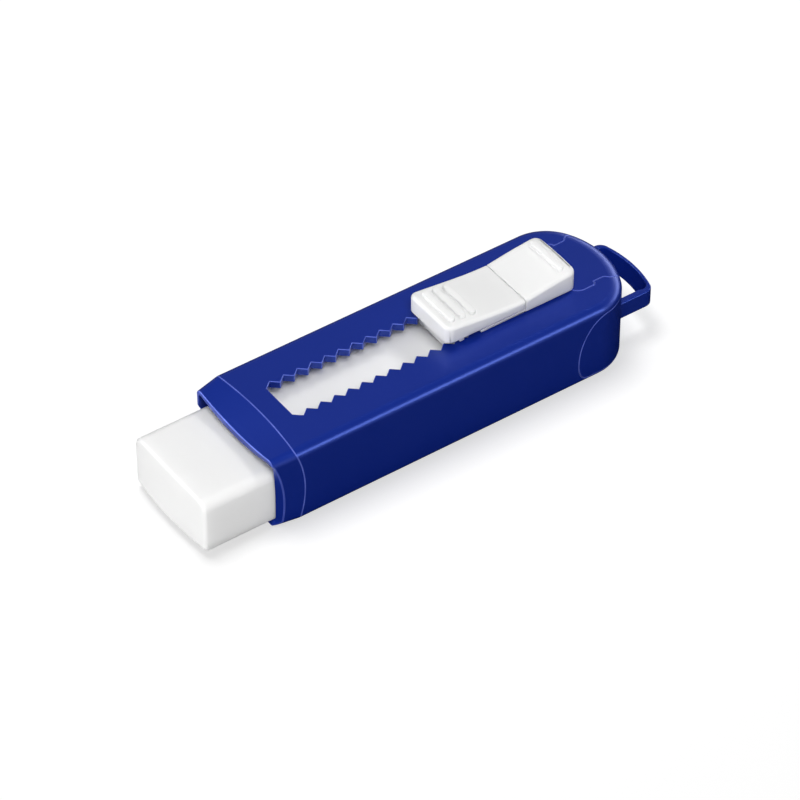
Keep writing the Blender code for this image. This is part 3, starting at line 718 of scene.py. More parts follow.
@dataclass(frozen=True)
class BodyShape:
    """Outside of sleeve and cap in one, in millimetres."""

    length: float = 82.4
    width: float = 26.0
    height: float = DECK
    end_radius: float = 16.6      # arc of the rear end, seen from above
    corner_radius: float = 9.5    # arcs beside it
    top_radius: float = 1.7
    rear_rounding: float = 2.5    # how far the top edge's rounding reaches in at the rear
    low_radius: float = 1.2
    corner_steps: int = 16
    end_steps: int = 12
    edge_steps: int = 10
    side_edge_highlight: float = 0.14             # painted highlight on the top edge along the sides
    rear_edge_highlight: float = 0.34        # and at the rear
    side_highlight_tilt: float = 70.0        # tilt of the brightest painted facets along the sides, in degrees
    rear_highlight_tilt: float = 16.0   # and at the rear
    highlight_spread: float = 14.0

    @property
    def mouth_x(self) -> float:
        """Front end of the sleeve."""
        return -self.length / 2

    @property
    def rear_x(self) -> float:
        """Rear end of the cap."""
        return self.length / 2

    @property
    def half_width(self) -> float:
        """Half the width."""
        return self.width / 2

    @property
    def end_x(self) -> float:
        """Centre of the rear end's arc."""
        return self.rear_x - self.end_radius

    @property
    def corner_y(self) -> float:
        """How far across the centre of a rear corner lies."""
        return self.half_width - self.corner_radius

    @property
    def corner_x(self) -> float:
        """How far back the centre of a rear corner lies."""
        return self.end_x + math.sqrt((self.end_radius - self.corner_radius) ** 2 - self.corner_y ** 2)

    @property
    def turn(self) -> float:
        """Half the angle of the rear end's arc, in degrees."""
        return math.degrees(math.atan2(self.corner_y, self.corner_x - self.end_x))

    def plan(self, inset: float = 0.0) -> Pen:
        """Near half of the outline seen from above.

        Args:
            inset: how far the outline lies inside the body.

        Returns:
            The pen, at the middle of the rear end.
        """
        half = self.half_width - inset
        pen = Pen(self.mouth_x, 0.0).line(self.mouth_x, -half).line(self.corner_x, -half)
        pen.arc(self.corner_x, -self.corner_y, 90.0 - self.turn, self.corner_steps)
        return pen.arc(self.end_x, 0.0, self.turn, self.end_steps)

    def outside(self) -> Form:
        """Closed outside with rounded long edges and a flat front end.

        Returns:
            The form, with its rubbed edges marked.
        """
        form = self.plan().solid(0.0, self.height)
        front = self.mouth_x + WELD
        for level, radius in ((self.height, self.top_radius), (0.0, self.low_radius)):
            rim = form.edges(lambda edge: all(abs(vert.co.z - level) < WELD for vert in edge.verts)
                             and max(vert.co.x for vert in edge.verts) > front)
            form.bevel(rim, radius, self.edge_steps)
        self.soften_rear(form)
        self.paint_edge_highlights(form)
        return form

    def paint_edge_highlights(self, form: Form) -> None:
        """Paint highlights on the upper edges by the tilt of each facet: low on the rounding along the
        sides, high round the rear end.

        Args:
            form: the body, with its edges rounded.
        """
        form.mesh.normal_update()
        marks = form.marks
        for face in form.mesh.faces:
            tilt = math.degrees(math.acos(max(-1.0, min(1.0, face.normal.z))))
            face[marks] = 0.0
            if FLAT_TILT < tilt < 90.0 - FLAT_TILT:
                rear = max(face.normal.xy.normalized().x, 0.0)
                middle = between(self.side_highlight_tilt, self.rear_highlight_tilt, rear)
                peak = between(self.side_edge_highlight, self.rear_edge_highlight, rear)
                face[marks] = peak * math.exp(-((tilt - middle) / self.highlight_spread) ** 2)

    def soften_rear(self, form: Form) -> None:
        """Let the rounding of the top edge reach further in round the rear end.

        Args:
            form: the body, with its top edge rounded alike all round.
        """
        for vert in form.mesh.verts:
            if vert.co.z < self.height - self.top_radius - WELD or vert.co.x < self.corner_x:
                continue
            across = math.degrees(math.atan2(vert.co.y, vert.co.x - self.end_x))
            if abs(across) < self.turn:
                centre, radius = Vector((self.end_x, 0.0, vert.co.z)), self.end_radius
            else:
                side = math.copysign(self.corner_y, vert.co.y)
                centre, radius = Vector((self.corner_x, side, vert.co.z)), self.corner_radius
            reach = vert.co - centre
            outward = reach.normalized()
            growth = 1.0 + (self.rear_rounding / self.top_radius - 1.0) * max(outward.x, 0.0)
            vert.co = centre + outward * (radius - (radius - reach.length) * growth)


@dataclass(frozen=True)
class CapJoint:
    """Joint line between sleeve and cap, in millimetres."""

    body: BodyShape
    gap: float = 0.05
    joint_highlight: float = 0.8            # how far the joint's edges are painted lighter: a painted highlight
    steps: int = 14
    # tongue in the top: a wide head, a neck and a flared root
    tongue_length: float = 12.0
    head_width: float = 14.0
    head_length: float = 4.8
    head_radius: float = 2.2
    head_step: float = 0.5
    neck_width: float = 12.2
    neck_length: float = 2.0
    flare_length: float = 1.8
    root_width: float = 14.1
    # lobe on each side
    top_setdown: float = 1.9
    floor_setup: float = 1.0
    lobe_reach: float = 15.3
    lobe_front_height: float = 5.0
    lobe_shoulder: float = 6.4
    lobe_heel: float = 2.4
    shoulder_pull: float = 0.45   # handles of the curves, as shares of their lengths
    front_pull: float = 0.57
    heel_ease: float = 0.2

    @property
    def tongue_front(self) -> float:
        """Front end of the tongue."""
        return self.body.rear_x - self.tongue_length

    def tongue(self, grow: float) -> Pen:
        """Near half of the tongue seen from above.

        Args:
            grow: how far the outline stands outside the tongue.

        Returns:
            The pen, at the middle behind the cap.
        """
        head, neck = self.head_width / 2 + grow, self.neck_width / 2 + grow
        root = self.root_width / 2 + grow
        front = self.tongue_front - grow
        step = self.tongue_front + self.head_length + grow
        flare = self.tongue_front + self.head_length + self.neck_length
        middle, end = flare + self.flare_length / 2, flare + self.flare_length
        behind = self.body.rear_x + CUT_REACH
        radius = self.head_radius + grow
        pen = Pen(front, 0.0).line(front, radius - head)
        pen.arc(front + radius, radius - head, 90.0, self.steps)
        pen.line(step - self.head_step, -head).line(step, self.head_step - head).line(step, -neck)
        pen.line(flare, -neck).curve((middle, -neck), (middle, -root), (end, -root), self.steps)
        return pen.line(behind, -root).line(behind, 0.0)

    def lobe(self, inset: float) -> Pen:
        """The lobe's joint line seen from the side, open to the rear.

        Args:
            inset: how far the outline lies inside the joint line.

        Returns:
            The pen, at the lower end of the line.
        """
        top = self.body.height - self.top_setdown - inset
        low = self.floor_setup + inset
        reach = self.body.rear_x - self.lobe_reach
        front, shoulder, heel = reach + inset, reach + self.lobe_shoulder, reach + self.lobe_heel
        behind = self.body.rear_x + CUT_REACH
        turn = self.lobe_front_height
        pen = Pen(behind, top).line(shoulder, top)
        pen.curve((shoulder - self.shoulder_pull * self.lobe_shoulder, top),
                  (front, between(turn, top, self.front_pull)), (front, turn), self.steps)
        pen.curve((front, (turn + low) / 2), (front + self.heel_ease * self.lobe_heel, low),
                  (heel, low), self.steps)
        return pen.line(behind, low)


@dataclass
class Sleeve(Piece):
    """Blue tube with a tapered nose, a notched slot and the seat of the cap, in millimetres."""

    body: BodyShape
    joint: CapJoint
    finish: Finish = Palette.BLUE_PLASTIC
    place: Place = Place("sleeve_shell", "housing", "sleeve", "blue_plastic")
    # hollow
    inner_half: float = 11.7
    floor: float = 1.1
    floor_radius: float = 0.3
    roof: float = ROOF
    roof_radius: float = 0.9
    throat: float = 6.5           # from the mouth to where the roof is level
    hollow_end: float = 34.0
    # nose, tapered from the crease to the mouth
    zone: float = 8.0             # length that is divided into strips
    zone_margin: float = 0.5
    top_strips: int = 24
    side_strips: int = 16
    crease_corner: float = 4.4    # setback of the crease at the corners
    crease_top: float = 5.4       # at the middle of the top
    crease_side: float = 6.2      # at the middle of the sides
    crease_heel: float = 0.6      # further setback at the foot
    crease_width: float = 0.13
    # how far the crease's rounding is painted lighter: a painted highlight
    crease_highlight: float = 0.8
    corner_drop: float = 0.6      # fall of the top at the mouth's corners
    top_drop: float = 1.85        # and at its middle
    side_draw: float = 0.75       # how far the sides draw in
    floor_rise: float = 0.1
    # bevel beside the mouth, shorter on the far side
    mouth_half: float = 11.45
    mouth_setback: float = 0.9    # how far its inner edge sinks in
    mouth_bow: float = 0.35
    rim_level: float = 5.5        # height where the bevel is deepest
    rim_reach: float = 9.2        # from there to its ends
    rim_far_reach: float = 6.2
    rim_setback: float = 1.75
    rim_depth: float = 1.1
    rim_end_setback: float = 0.3
    rim_end_depth: float = 0.15
    rim_far_share: float = 0.2    # size of the far side's ends against the near side's
    # how far the mouth's land is painted lighter towards the far side: painted light
    land_highlight: float = 0.75
    # lip
    lip_corner: float = 0.85      # thickness at the corners
    lip_middle: float = 1.3       # and at the middle
    lip_width: float = 0.2        # rounding of its outer edge
    inner_lip_width: float = 0.1
    inner_lip_steps: int = 3
    # how far the lip's outer rounding is painted lighter: a painted highlight, strongest on the facets
    # facing one direction
    lip_highlight: float = 0.4
    lip_top_highlight: float = 0.6
    lip_highlight_focus: int = 4
    lip_highlight_face: Point = (-0.645, 0.0, 0.765)    # where the facets with the brightest painted highlight face
    # slot
    slot_setback: float = 9.8
    slot_tip: float = 8.2         # width between the notches
    slot_root: float = 10.8       # width across them
    tooth_pitch: float = NOTCH_PITCH
    tooth_count: int = 20
    roof_bite: float = 0.3        # how far the cuts from above go below the roof
    edge_width: float = 0.12

    def form(self) -> Form:
        """Cut the sleeve from the body and round its edges.

        Returns:
            The closed form.
        """
        body, joint = self.body, self.joint
        form = body.outside()
        self.shape_nose(form)
        self.hollow(form)
        below, above = self.roof - self.roof_bite, body.height + CUT_REACH
        side = body.half_width + CUT_REACH
        form.combine(self.slot().solid(below, above), Merge.CUT)
        form.combine(joint.tongue(joint.gap).solid(below, above), Merge.CUT)
        form.combine(joint.lobe(0.0).solid(-side, side, Plane.SIDE, mirrored=False), Merge.CUT)
        behind_nose = body.mouth_x + self.zone + self.zone_margin
        slot_half, slot_end = self.slot_root / 2 + WELD, joint.tongue_front - joint.gap - WELD

        def is_cut(edge: BMEdge) -> bool:
            """Whether an edge lies behind the nose."""
            return min(vert.co.x for vert in edge.verts) > behind_nose

        def is_slot(edge: BMEdge) -> bool:
            """Whether an edge belongs to the slot."""
            return is_cut(edge) and all(abs(vert.co.y) < slot_half and vert.co.x < slot_end
                                        for vert in edge.verts)

        form.bevel(form.sharp_edges(CUT_TURN, is_slot), self.edge_width, EDGE_STEPS)
        # the other edges cut behind the nose, the cap's joint among them, get a painted highlight on their
        # rounding
        return form.bevel(form.sharp_edges(CUT_TURN, is_cut), self.edge_width, EDGE_STEPS, joint.joint_highlight)

    def shape_nose(self, form: Form) -> None:
        """Taper the front from a bowed crease to the mouth.

        Args:
            form: the body's outside.
        """
        body = self.body
        core_half = body.half_width - body.top_radius
        core_height = body.height - body.low_radius - body.top_radius
        mouth, zone = body.mouth_x, body.mouth_x + self.zone
        crease = mouth + self.crease_corner
        form.slice(Axis.X, zone)

        def in_front(face: BMFace) -> bool:
            """Whether a face belongs to the nose."""
            return face.calc_center_median().x < zone

        form.slice(Axis.X, crease, in_front)
        for strip in range(1, self.top_strips):
            form.slice(Axis.Y, core_half * (2 * strip / self.top_strips - 1), in_front)
        for strip in range(1, self.side_strips):
            form.slice(Axis.Z, body.low_radius + core_height * strip / self.side_strips, in_front)
        raw = form.mesh.verts.layers.float_vector.new(RAW_PLACE)
        ring: set[BMVert] = set()
        for vert in form.mesh.verts:
            vert[raw] = vert.co
            across, upward = vert.co.y / body.half_width, vert.co.z / body.height
            top_bow, side_bow = 1.0 - across ** 2, 4.0 * upward * (1.0 - upward)
            if vert.co.x < mouth + WELD:
                drop = between(self.corner_drop, self.top_drop, top_bow)
                vert.co.y = across * (body.half_width - self.side_draw)
                vert.co.z = self.floor_rise + upward * (body.height - self.floor_rise - drop)
            elif vert.co.x < crease + WELD:
                vert.co.x += (self.crease_top - self.crease_corner) * top_bow
                vert.co.x += (self.crease_side - self.crease_corner) * side_bow
                vert.co.x += self.crease_heel * (1.0 - upward) ** 2
                ring.add(vert)
        creases = form.edges(lambda edge: ring.issuperset(edge.verts))
        mouth_faces = [face for face in form.mesh.faces
                       if max(vert.co.x for vert in face.verts) < mouth + WELD]
        bmesh.ops.delete(form.mesh, geom=mouth_faces, context='FACES')
        # the crease's rounding gets a painted highlight
        form.bevel(creases, self.crease_width, EDGE_STEPS, self.crease_highlight)

    def bow(self, y: float, z: float) -> float:
        """How far a point beside the mouth has sunk in, from 0 at the ends to 1 at the deepest level.

        Args:
            y: place across.
            z: height.

        Returns:
            The share of the full depth.
        """
        reach = self.rim_far_reach if y > 0.0 else self.rim_reach
        return max(1.0 - ((z - self.rim_level) / reach) ** 2, 0.0)

    def rim(self, y: float, z: float) -> tuple[float, float]:
        """How the bevel beside the mouth cuts a point of the mouth's plane.

        Args:
            y: place across.
            z: height.

        Returns:
            The bevel's slope there, and how far the point stands outside it.
        """
        bow = self.bow(y, z)
        share = self.rim_far_share if y > 0.0 else 1.0
        end_setback, end_depth = self.rim_end_setback * share, self.rim_end_depth * share
        setback = between(end_setback, self.rim_setback, bow)
        depth = between(end_depth, self.rim_depth, bow)
        return depth / setback, abs(y) - (self.body.half_width - self.side_draw - depth)

    def inner_place(self, raw: Vector, fall: bool) -> tuple[float, float]:
        """Point of the hollow's cross-section that answers to one of the body's.

        Args:
            raw: the point on the straight body.
            fall: whether the roof has come down to the lip.

        Returns:
            Its place across and its height.
        """
        body = self.body
        upper = raw.z > body.height / 2
        edge_radius, radius = ((body.top_radius, self.roof_radius) if upper
                               else (body.low_radius, self.floor_radius))
        half = self.mouth_half if fall else self.inner_half
        core_half = body.half_width - edge_radius
        low, high = body.low_radius, body.height - body.top_radius
        anchor_y = max(-core_half, min(core_half, raw.y))
        anchor_z = max(low, min(high, raw.z))
        y = anchor_y / core_half * (half - radius)
        y += (raw.y - anchor_y) / edge_radius * radius
        share = (anchor_z - low) / (high - low)
        z = (self.floor + self.floor_radius) * (1.0 - share) + (self.roof - self.roof_radius) * share
        z += (raw.z - anchor_z) / edge_radius * radius
        if fall:
            corner_fall = self.corner_drop + self.lip_corner - (body.height - self.roof)
            middle_fall = self.top_drop + self.lip_middle - (body.height - self.roof)
            drop = between(corner_fall, middle_fall, 1.0 - (y / self.inner_half) ** 2)
            z -= drop * (z - self.floor) / (self.roof - self.floor)
        return y, z

    def hollow(self, form: Form) -> None:
        """Bevel the mouth's sides, then draw the hollow in from the mouth.

        Args:
            form: the body with its nose shaped and its mouth open.
        """
        mesh, mouth = form.mesh, self.body.mouth_x
        raw, marks = mesh.verts.layers.float_vector[RAW_PLACE], form.marks
        ring = form.edges(lambda edge: edge.is_boundary)
        taper = self.side_draw / self.crease_side
        for vert in {vert for edge in ring for vert in edge.verts}:
            slope, over = self.rim(vert.co.y, vert.co.z)
            shift = max(over, 0.0) / (slope - taper)
            vert.co.x += shift
            vert.co.y += math.copysign(taper * shift, vert.co.y)
        lips = ring
        inner_lips: list[BMEdge] = []
        for station in (0.0, self.throat, self.hollow_end - mouth):
            at_mouth = station == 0.0
            drawn = bmesh.ops.extrude_edge_only(mesh, edges=ring)["geom"]
            ring = [item for item in drawn if isinstance(item, BMEdge) and item.is_boundary]
            inner_lips = inner_lips or ring
            for vert in {vert for edge in ring for vert in edge.verts}:
                vert.co.y, vert.co.z = self.inner_place(vert[raw], at_mouth)
                vert.co.x = mouth + station
                if at_mouth:
                    beside = (abs(vert.co.y) - self.mouth_half) / self.roof_radius + 1.0
                    sunk = self.bow(vert.co.y, vert.co.z) ** self.mouth_bow
                    vert.co.x += self.mouth_setback * sunk * max(beside, 0.0)
            # the mouth's land is painted lighter towards the far side, where light falls on it: painted
            # light
            for face in (item for item in drawn if isinstance(item, BMFace)):
                far = max(face.calc_center_median().y / self.body.half_width, 0.0)
                face[marks] = self.land_highlight * far if at_mouth else 0.0
        bmesh.ops.edgeloop_fill(mesh, edges=ring)
        form.face_out()
        form.bevel(inner_lips, self.inner_lip_width, self.inner_lip_steps)
        # the lip's outer rounding gets a painted highlight, brightest on the facets that face the given
        # direction
        form.bevel([edge for edge in lips if edge.is_valid], self.lip_width, ROUND_STEPS, LIP_HIGHLIGHT_TAG)
        highlight_face = Vector(self.lip_highlight_face)
        mesh.normal_update()
        for face in mesh.faces:
            if face[marks] == LIP_HIGHLIGHT_TAG:
                toward = max(face.normal.dot(highlight_face), 0.0)
                face[marks] = self.lip_highlight + self.lip_top_highlight * toward ** self.lip_highlight_focus

    def slot(self) -> Pen:
        """Near half of the slot seen from above, with its V notches.

        Returns:
            The pen, at the middle of the slot's rear end.
        """
        front = self.body.mouth_x + self.slot_setback
        tip, root = self.slot_tip / 2, self.slot_root / 2
        pen = Pen(front, 0.0).line(front, -tip)
        for notch in range(self.tooth_count):
            middle = front + (notch + 0.5) * self.tooth_pitch
            pen.line(middle, -root).line(middle + self.tooth_pitch / 2, -tip)
        end = self.joint.tongue_front + self.joint.gap
        return pen.line(end, -tip).line(end, 0.0)


@dataclass
class RearCap(Piece):
    """Blue end piece with side lobes, a top tongue and the hanging loop, in millimetres."""

    body: BodyShape
    joint: CapJoint
    finish: Finish = Palette.BLUE_PLASTIC
    place: Place = Place("rear_cap_shell", "housing", "rear_cap", "blue_plastic")
    wall: float = 1.8
    roof: float = ROOF
    edge_width: float = 0.12
    steps: int = 12
    # loop
    loop_gap: float = 5.2         # from the cap to the bar
    loop_bar: float = 1.7
    loop_leg: float = 1.5
    loop_width: float = 16.2
    loop_height: float = 3.8
    loop_level: float = 7.9
    loop_corner: float = 2.0
    loop_lean: float = 1.0        # slope of the bar's inner face
    loop_edge: float = 0.3
    # guides inside the sleeve
    spigot_front: float = 21.9
    spigot_length: float = 9.0
    spigot_wall: float = 1.5
    spigot_outer: float = 11.4
    spigot_low: float = 3.2
    spigot_height: float = 8.0

    def form(self) -> Form:
        """Join the cap from its lobes, tongue, loop and inner guides.

        Returns:
            The closed form.
        """
        side = self.body.half_width + CUT_REACH
        form = self.joint.lobe(self.joint.gap).solid(-side, side, Plane.SIDE, mirrored=False)
        tongue = self.joint.tongue(0.0).solid(self.body.height / 2, self.body.height + CUT_REACH)
        form.combine(tongue, Merge.ADD)
        form.combine(self.body.outside(), Merge.KEEP)
        # the cap's joint edges get a painted highlight on their rounding
        form.bevel(form.sharp_edges(CUT_TURN), self.edge_width, EDGE_STEPS, self.joint.joint_highlight)
        form.combine(self.loop(), Merge.ADD)
        form.combine(self.body.plan(self.wall).solid(-CUT_REACH, self.roof), Merge.CUT)
        rear, high = self.spigot_front + self.spigot_length, self.spigot_low + self.spigot_height
        inner, outer = self.spigot_outer - self.spigot_wall, self.spigot_outer
        for ends in ((-outer, -inner), (inner, outer)):
            form.add_box((self.spigot_front, ends[0], self.spigot_low), (rear, ends[1], high))
        return form

    def loop(self) -> Form:
        """Two straight legs and a bar that follows the rear end's curve.

        Returns:
            The closed form.
        """
        centre = self.body.end_x
        root = self.body.rear_x - self.body.end_radius / 2
        inner, inner_half = self.body.end_radius + self.loop_gap, self.loop_width / 2 - self.loop_leg
        outer, outer_half = inner + self.loop_bar, self.loop_width / 2
        inner_corner = self.loop_corner - self.loop_leg / 2
        pen = Pen(centre + inner, 0.0)
        turn, corner_x = self.corner(inner, inner_half, inner_corner)
        pen.arc(centre, 0.0, -turn, self.steps)
        pen.arc(centre + corner_x, inner_corner - inner_half, turn - 90.0, self.steps)
        pen.line(root, -inner_half).line(root, -outer_half)
        turn, corner_x = self.corner(outer, outer_half, self.loop_corner)
        pen.line(centre + corner_x, -outer_half)
        pen.arc(centre + corner_x, self.loop_corner - outer_half, 90.0 - turn, self.steps)
        pen.arc(centre, 0.0, turn, self.steps)
        low = self.loop_level - self.loop_height / 2
        form = pen.solid(low, low + self.loop_height)
        middle = Vector((self.body.rear_x + self.loop_gap / 2, 0.0, 0.0))
        for vert in form.mesh.verts:
            inward = Vector((vert.normal.x, vert.normal.y, 0.0)).normalized()
            if vert.co.z > self.loop_level and inward.dot(vert.co - middle) < 0.0:
                vert.co -= inward * self.loop_lean * max(-inward.x, 0.0)
        rims = form.edges(lambda edge: abs(edge.verts[0].co.z - edge.verts[1].co.z) < WELD)
        return form.bevel(rims, self.loop_edge, ROUND_STEPS)

    @staticmethod
    def corner(radius: float, half: float, corner: float) -> tuple[float, float]:
        """Where the bar's arc runs into a leg.

        Args:
            radius: radius of the arc.
            half: how far the leg's face lies from the middle.
            corner: radius of the corner between them.

        Returns:
            The angle where the arc ends, in degrees, and the corner's centre along X from the arc's.
        """
        reach = math.sqrt((radius - corner) ** 2 - (half - corner) ** 2)
        return math.degrees(math.atan2(half - corner, reach)), reach


@dataclass
class EraserBlock(Piece):
    """White block with rounded upper edges, a swollen tip and two holes behind, in millimetres."""

    finish: Finish = Palette.ERASER_VINYL
    place: Place = Place("eraser_bar", "eraser", "eraser_block", "eraser_white")
    front: float = -55.1
    rear: float = 10.1
    half_width: float = 11.3
    low: float = 1.4
    high: float = 12.5
    edge_radius: float = 2.0
    edge_steps: int = 8
    tip_radius: float = 0.65
    tip_steps: int = 6
    # how far the tip's rounding is painted lighter: wear and a painted highlight
    tip_wear_and_highlight: float = 0.4
    bulge: float = 0.8            # how far the tip swells at its foot
    strips: int = 28
    hole_radius: float = 1.3
    hole_end_radius: float = 0.8
    hole_depth: float = 9.3
    hole_spacing: float = PRONG_SPACING
    rear_edge: float = 0.15
    # how far the rear edges are painted lighter: wear and a painted highlight
    rear_wear_and_highlight: float = 0.3

    def form(self) -> Form:
        """Shape the block's long edges, its tip and its holes.

        Returns:
            The closed form.
        """
        form = Form.box((self.front, -self.half_width, self.low), (self.rear, self.half_width, self.high))
        middle, height = (self.low + self.high) / 2, self.high - self.low
        upper = form.edges(lambda edge: edge.calc_length() > self.rear - self.front - WELD
                           and edge.verts[0].co.z > middle)
        form.bevel(upper, self.edge_radius, self.edge_steps)
        tip = form.edges(lambda edge: max(vert.co.x for vert in edge.verts) < self.front + WELD)
        form.bevel(tip, self.tip_radius, self.tip_steps, self.tip_wear_and_highlight)
        nose = self.front + self.tip_radius + WELD
        for strip in range(1, self.strips):
            across = (self.half_width - self.tip_radius) * (2 * strip / self.strips - 1)
            form.slice(Axis.Y, across, lambda face: face.calc_center_median().x < nose)
        for vert in form.mesh.verts:
            if vert.co.x < nose:
                lower = (self.high - vert.co.z) / height
                vert.co.x -= self.bulge * lower * (1.0 - (vert.co.y / self.half_width) ** 2)
        for across in (-self.hole_spacing / 2, self.hole_spacing / 2):
            hole = Form.rod((self.rear + CUT_REACH, across, middle), self.hole_radius, self.hole_end_radius,
                            self.hole_depth + CUT_REACH)
            form.combine(hole, Merge.CUT)
        return form.bevel(form.sharp_edges(CORNER_TURN), self.rear_edge, EDGE_STEPS, self.rear_wear_and_highlight)


@dataclass(frozen=True)
class PadShape:
    """One pad of the slider: rounded, with a top that rises to its outer end, in millimetres."""

    inner: float                  # place of the crack's side
    outer: float                  # place of the free end
    low: float
    crest: float                  # height of the top over the sleeve, at the free end
    deck: float = DECK
    dip: float = 3.15             # height of the top over the sleeve, at the crack
    straight: float = 0.0         # share of the straight ramp
    ramp_ease: float = 0.4        # how far the straight ramp flattens out
    crown: float = 0.0            # fall of the top to its sides, at the free end
    half_width: float = 6.25
    corner_radius: float = 1.6
    edge_radius: float = 0.7
    steps: int = 24
    side_steps: int = 4
    corner_steps: int = 8
    edge_steps: int = 5
    rib_length: float = 9.4
    rib_width: float = 1.3
    rib_height: float = 0.75
    rib_edge: float = 0.18
    # how far the rib's top is painted lighter: wear and a painted highlight
    rib_wear_and_highlight: float = 1.0
    rib_pitch: float = 2.3
    rib_setback: float = 2.4

    @property
    def side(self) -> float:
        """Which way the pad runs from the crack: 1 to the rear, -1 to the front."""
        return math.copysign(1.0, self.outer - self.inner)

    def top(self, x: float, y: float = 0.0) -> float:
        """Height of the pad's top: a straight ramp mixed with a hollow one, crowned at the outer end.

        Args:
            x: place along the pad.
            y: place across it.

        Returns:
            The height.
        """
        share = (x - self.inner) / (self.outer - self.inner)
        hollow = (2.0 - share) * share ** 2
        ramp = share * (1.0 + self.ramp_ease * (1.0 - share))
        rise = (self.crest - self.dip) * between(hollow, ramp, self.straight)
        return self.deck + self.dip + rise - self.crown * share * (y / self.half_width) ** 2

    def form(self) -> Form:
        """The pad without its ribs.

        Returns:
            The closed form.
        """
        corner_x = self.outer - self.side * self.corner_radius
        corner_y = self.half_width - self.corner_radius
        pen = Pen(self.inner, 0.0).line(self.inner, -self.half_width).line(corner_x, -self.half_width)
        pen.arc(corner_x, -corner_y, self.side * 90.0, self.corner_steps).line(self.outer, 0.0)
        form = pen.solid(self.low, self.deck + self.dip)
        for step in range(1, self.steps):
            form.slice(Axis.X, between(self.inner, self.outer, step / self.steps))
        if self.crown:
            for step in range(-self.side_steps, self.side_steps + 1):
                form.slice(Axis.Y, corner_y * step / self.side_steps)
        for vert in form.mesh.verts:
            if vert.co.z > self.deck + self.dip - WELD:
                vert.co.z = self.top(vert.co.x, vert.co.y)
        form.mesh.normal_update()

        def is_rim(edge: BMEdge) -> bool:
            """Whether an edge lies round the top, off the crack.

            Args:
                edge: the edge.

            Returns:
                The answer.
            """
            steep, flat = sorted(abs(face.normal.z) for face in edge.link_faces)
            off_crack = max(abs(vert.co.x - self.inner) for vert in edge.verts) > WELD
            return steep < UPRIGHT and flat > LEVEL and edge.verts[0].co.z > self.low + WELD and off_crack

        return form.bevel(form.edges(is_rim), self.edge_radius, self.edge_steps)

    def rib(self, index: int) -> Form:
        """A raised bar across the pad, its top painted lighter: wear and a painted highlight.

        Args:
            index: the bar's number, counted in from the pad's outer end.

        Returns:
            The closed form.
        """
        x = self.outer - self.side * (self.rib_setback + index * self.rib_pitch)
        half = self.rib_width / 2
        straight = self.rib_length / 2 - half
        pen = Pen(x - half, 0.0).line(x - half, -straight)
        pen.arc(x, -straight, 180.0, self.corner_steps).line(x + half, 0.0)
        base = self.top(x)
        top = base + self.rib_height
        form = pen.solid(base - self.rib_width, top)
        rims = form.edges(lambda edge: min(vert.co.z for vert in edge.verts) > top - WELD)
        form.bevel(rims, self.rib_edge, ROUND_STEPS, self.rib_wear_and_highlight)
        marks = form.marks
        for face in form.mesh.faces:
            if face.calc_center_median().z > top - WELD:
                face[marks] = self.rib_wear_and_highlight
        return form


@dataclass
class ThumbButton(Piece):
    """White front pad with three ribs, a hollow underside and a foot on each side, in millimetres."""

    finish: Finish = Palette.WHITE_PLASTIC
    place: Place = Place("button_pad", "button", "thumb_button", "white_plastic")
    pad: PadShape = PadShape(inner=18.41, outer=0.95, low=17.8, crest=4.85)
    rib_count: int = 3
    wall: float = 1.3
    pocket: float = 1.2
    foot_length: float = 1.0
    foot_width: float = 0.8
    foot_drop: float = 0.7
    foot_setback: float = 3.4
    foot_inset: float = 0.15
    edge_width: float = 0.14

    def form(self) -> Form:
        """Join the pad, its feet and its ribs, and cut its pocket.

        Returns:
            The closed form.
        """
        pad = self.pad
        form = pad.form()
        half = pad.half_width - self.wall
        form.cut_box((pad.outer + self.wall, -half, pad.low - CUT_REACH),
                     (pad.inner - self.wall, half, pad.low + self.pocket))
        front = pad.outer + self.foot_setback - self.foot_length / 2
        low, high = pad.low - self.foot_drop, pad.low + self.foot_drop
        outer = pad.half_width - self.foot_inset
        inner = outer - self.foot_width
        for ends in ((-outer, -inner), (inner, outer)):
            form.add_box((front, ends[0], low), (front + self.foot_length, ends[1], high))
        form.round_corners(self.edge_width)
        for index in range(self.rib_count):
            form.combine(pad.rib(index), Merge.ADD)
        return form


@dataclass
class Slider(Piece):
    """White rear pad with its plate, stem and hook, in millimetres."""

    finish: Finish = Palette.WHITE_PLASTIC
    place: Place = Place("slider_pad", "carriage", "slider", "white_plastic")
    pad: PadShape = PadShape(inner=18.59, outer=30.15, low=17.0, crest=4.95, straight=1.0, crown=0.35)
    plate_front: float = 8.6
    plate_rear: float = 28.55
    plate_low: float = 16.9
    plate_high: float = 17.4
    plate_inset: float = 0.15
    stem_front: float = 10.3
    stem_rear: float = 19.7
    stem_half: float = 3.8
    stem_low: float = 13.9
    hook_middle: float = 15.8
    hook_half: float = 2.0
    hook_barb: float = 0.8
    hook_top: float = 12.5
    hook_low: float = 11.6
    hook_side: float = 3.5
    hook_root: float = 0.5
    edge_width: float = 0.14

    def form(self) -> Form:
        """Join the pad, its plate, stem, hook and rib.

        Returns:
            The closed form.
        """
        form = self.pad.form()
        half, middle = self.pad.half_width - self.plate_inset, (self.plate_low + self.plate_high) / 2
        form.add_box((self.plate_front, -half, self.plate_low), (self.plate_rear, half, self.plate_high))
        form.add_box((self.stem_front, -self.stem_half, self.stem_low),
                     (self.stem_rear, self.stem_half, middle))
        form.combine(self.hook(), Merge.ADD)
        form.round_corners(self.edge_width)
        return form.combine(self.pad.rib(0), Merge.ADD)

    def hook(self) -> Form:
        """The barbed hook under the stem.

        Returns:
            The closed form.
        """
        front, rear = self.hook_middle - self.hook_half, self.hook_middle + self.hook_half
        above = self.stem_low + self.hook_root
        pen = Pen(front, above).line(front, self.hook_top).line(front - self.hook_barb, self.hook_top)
        pen.line(front, self.hook_low).line(rear, self.hook_low).line(rear + self.hook_barb, self.hook_top)
        pen.line(rear, self.hook_top).line(rear, above)
        return pen.solid(-self.hook_side, self.hook_side, Plane.SIDE, mirrored=False)


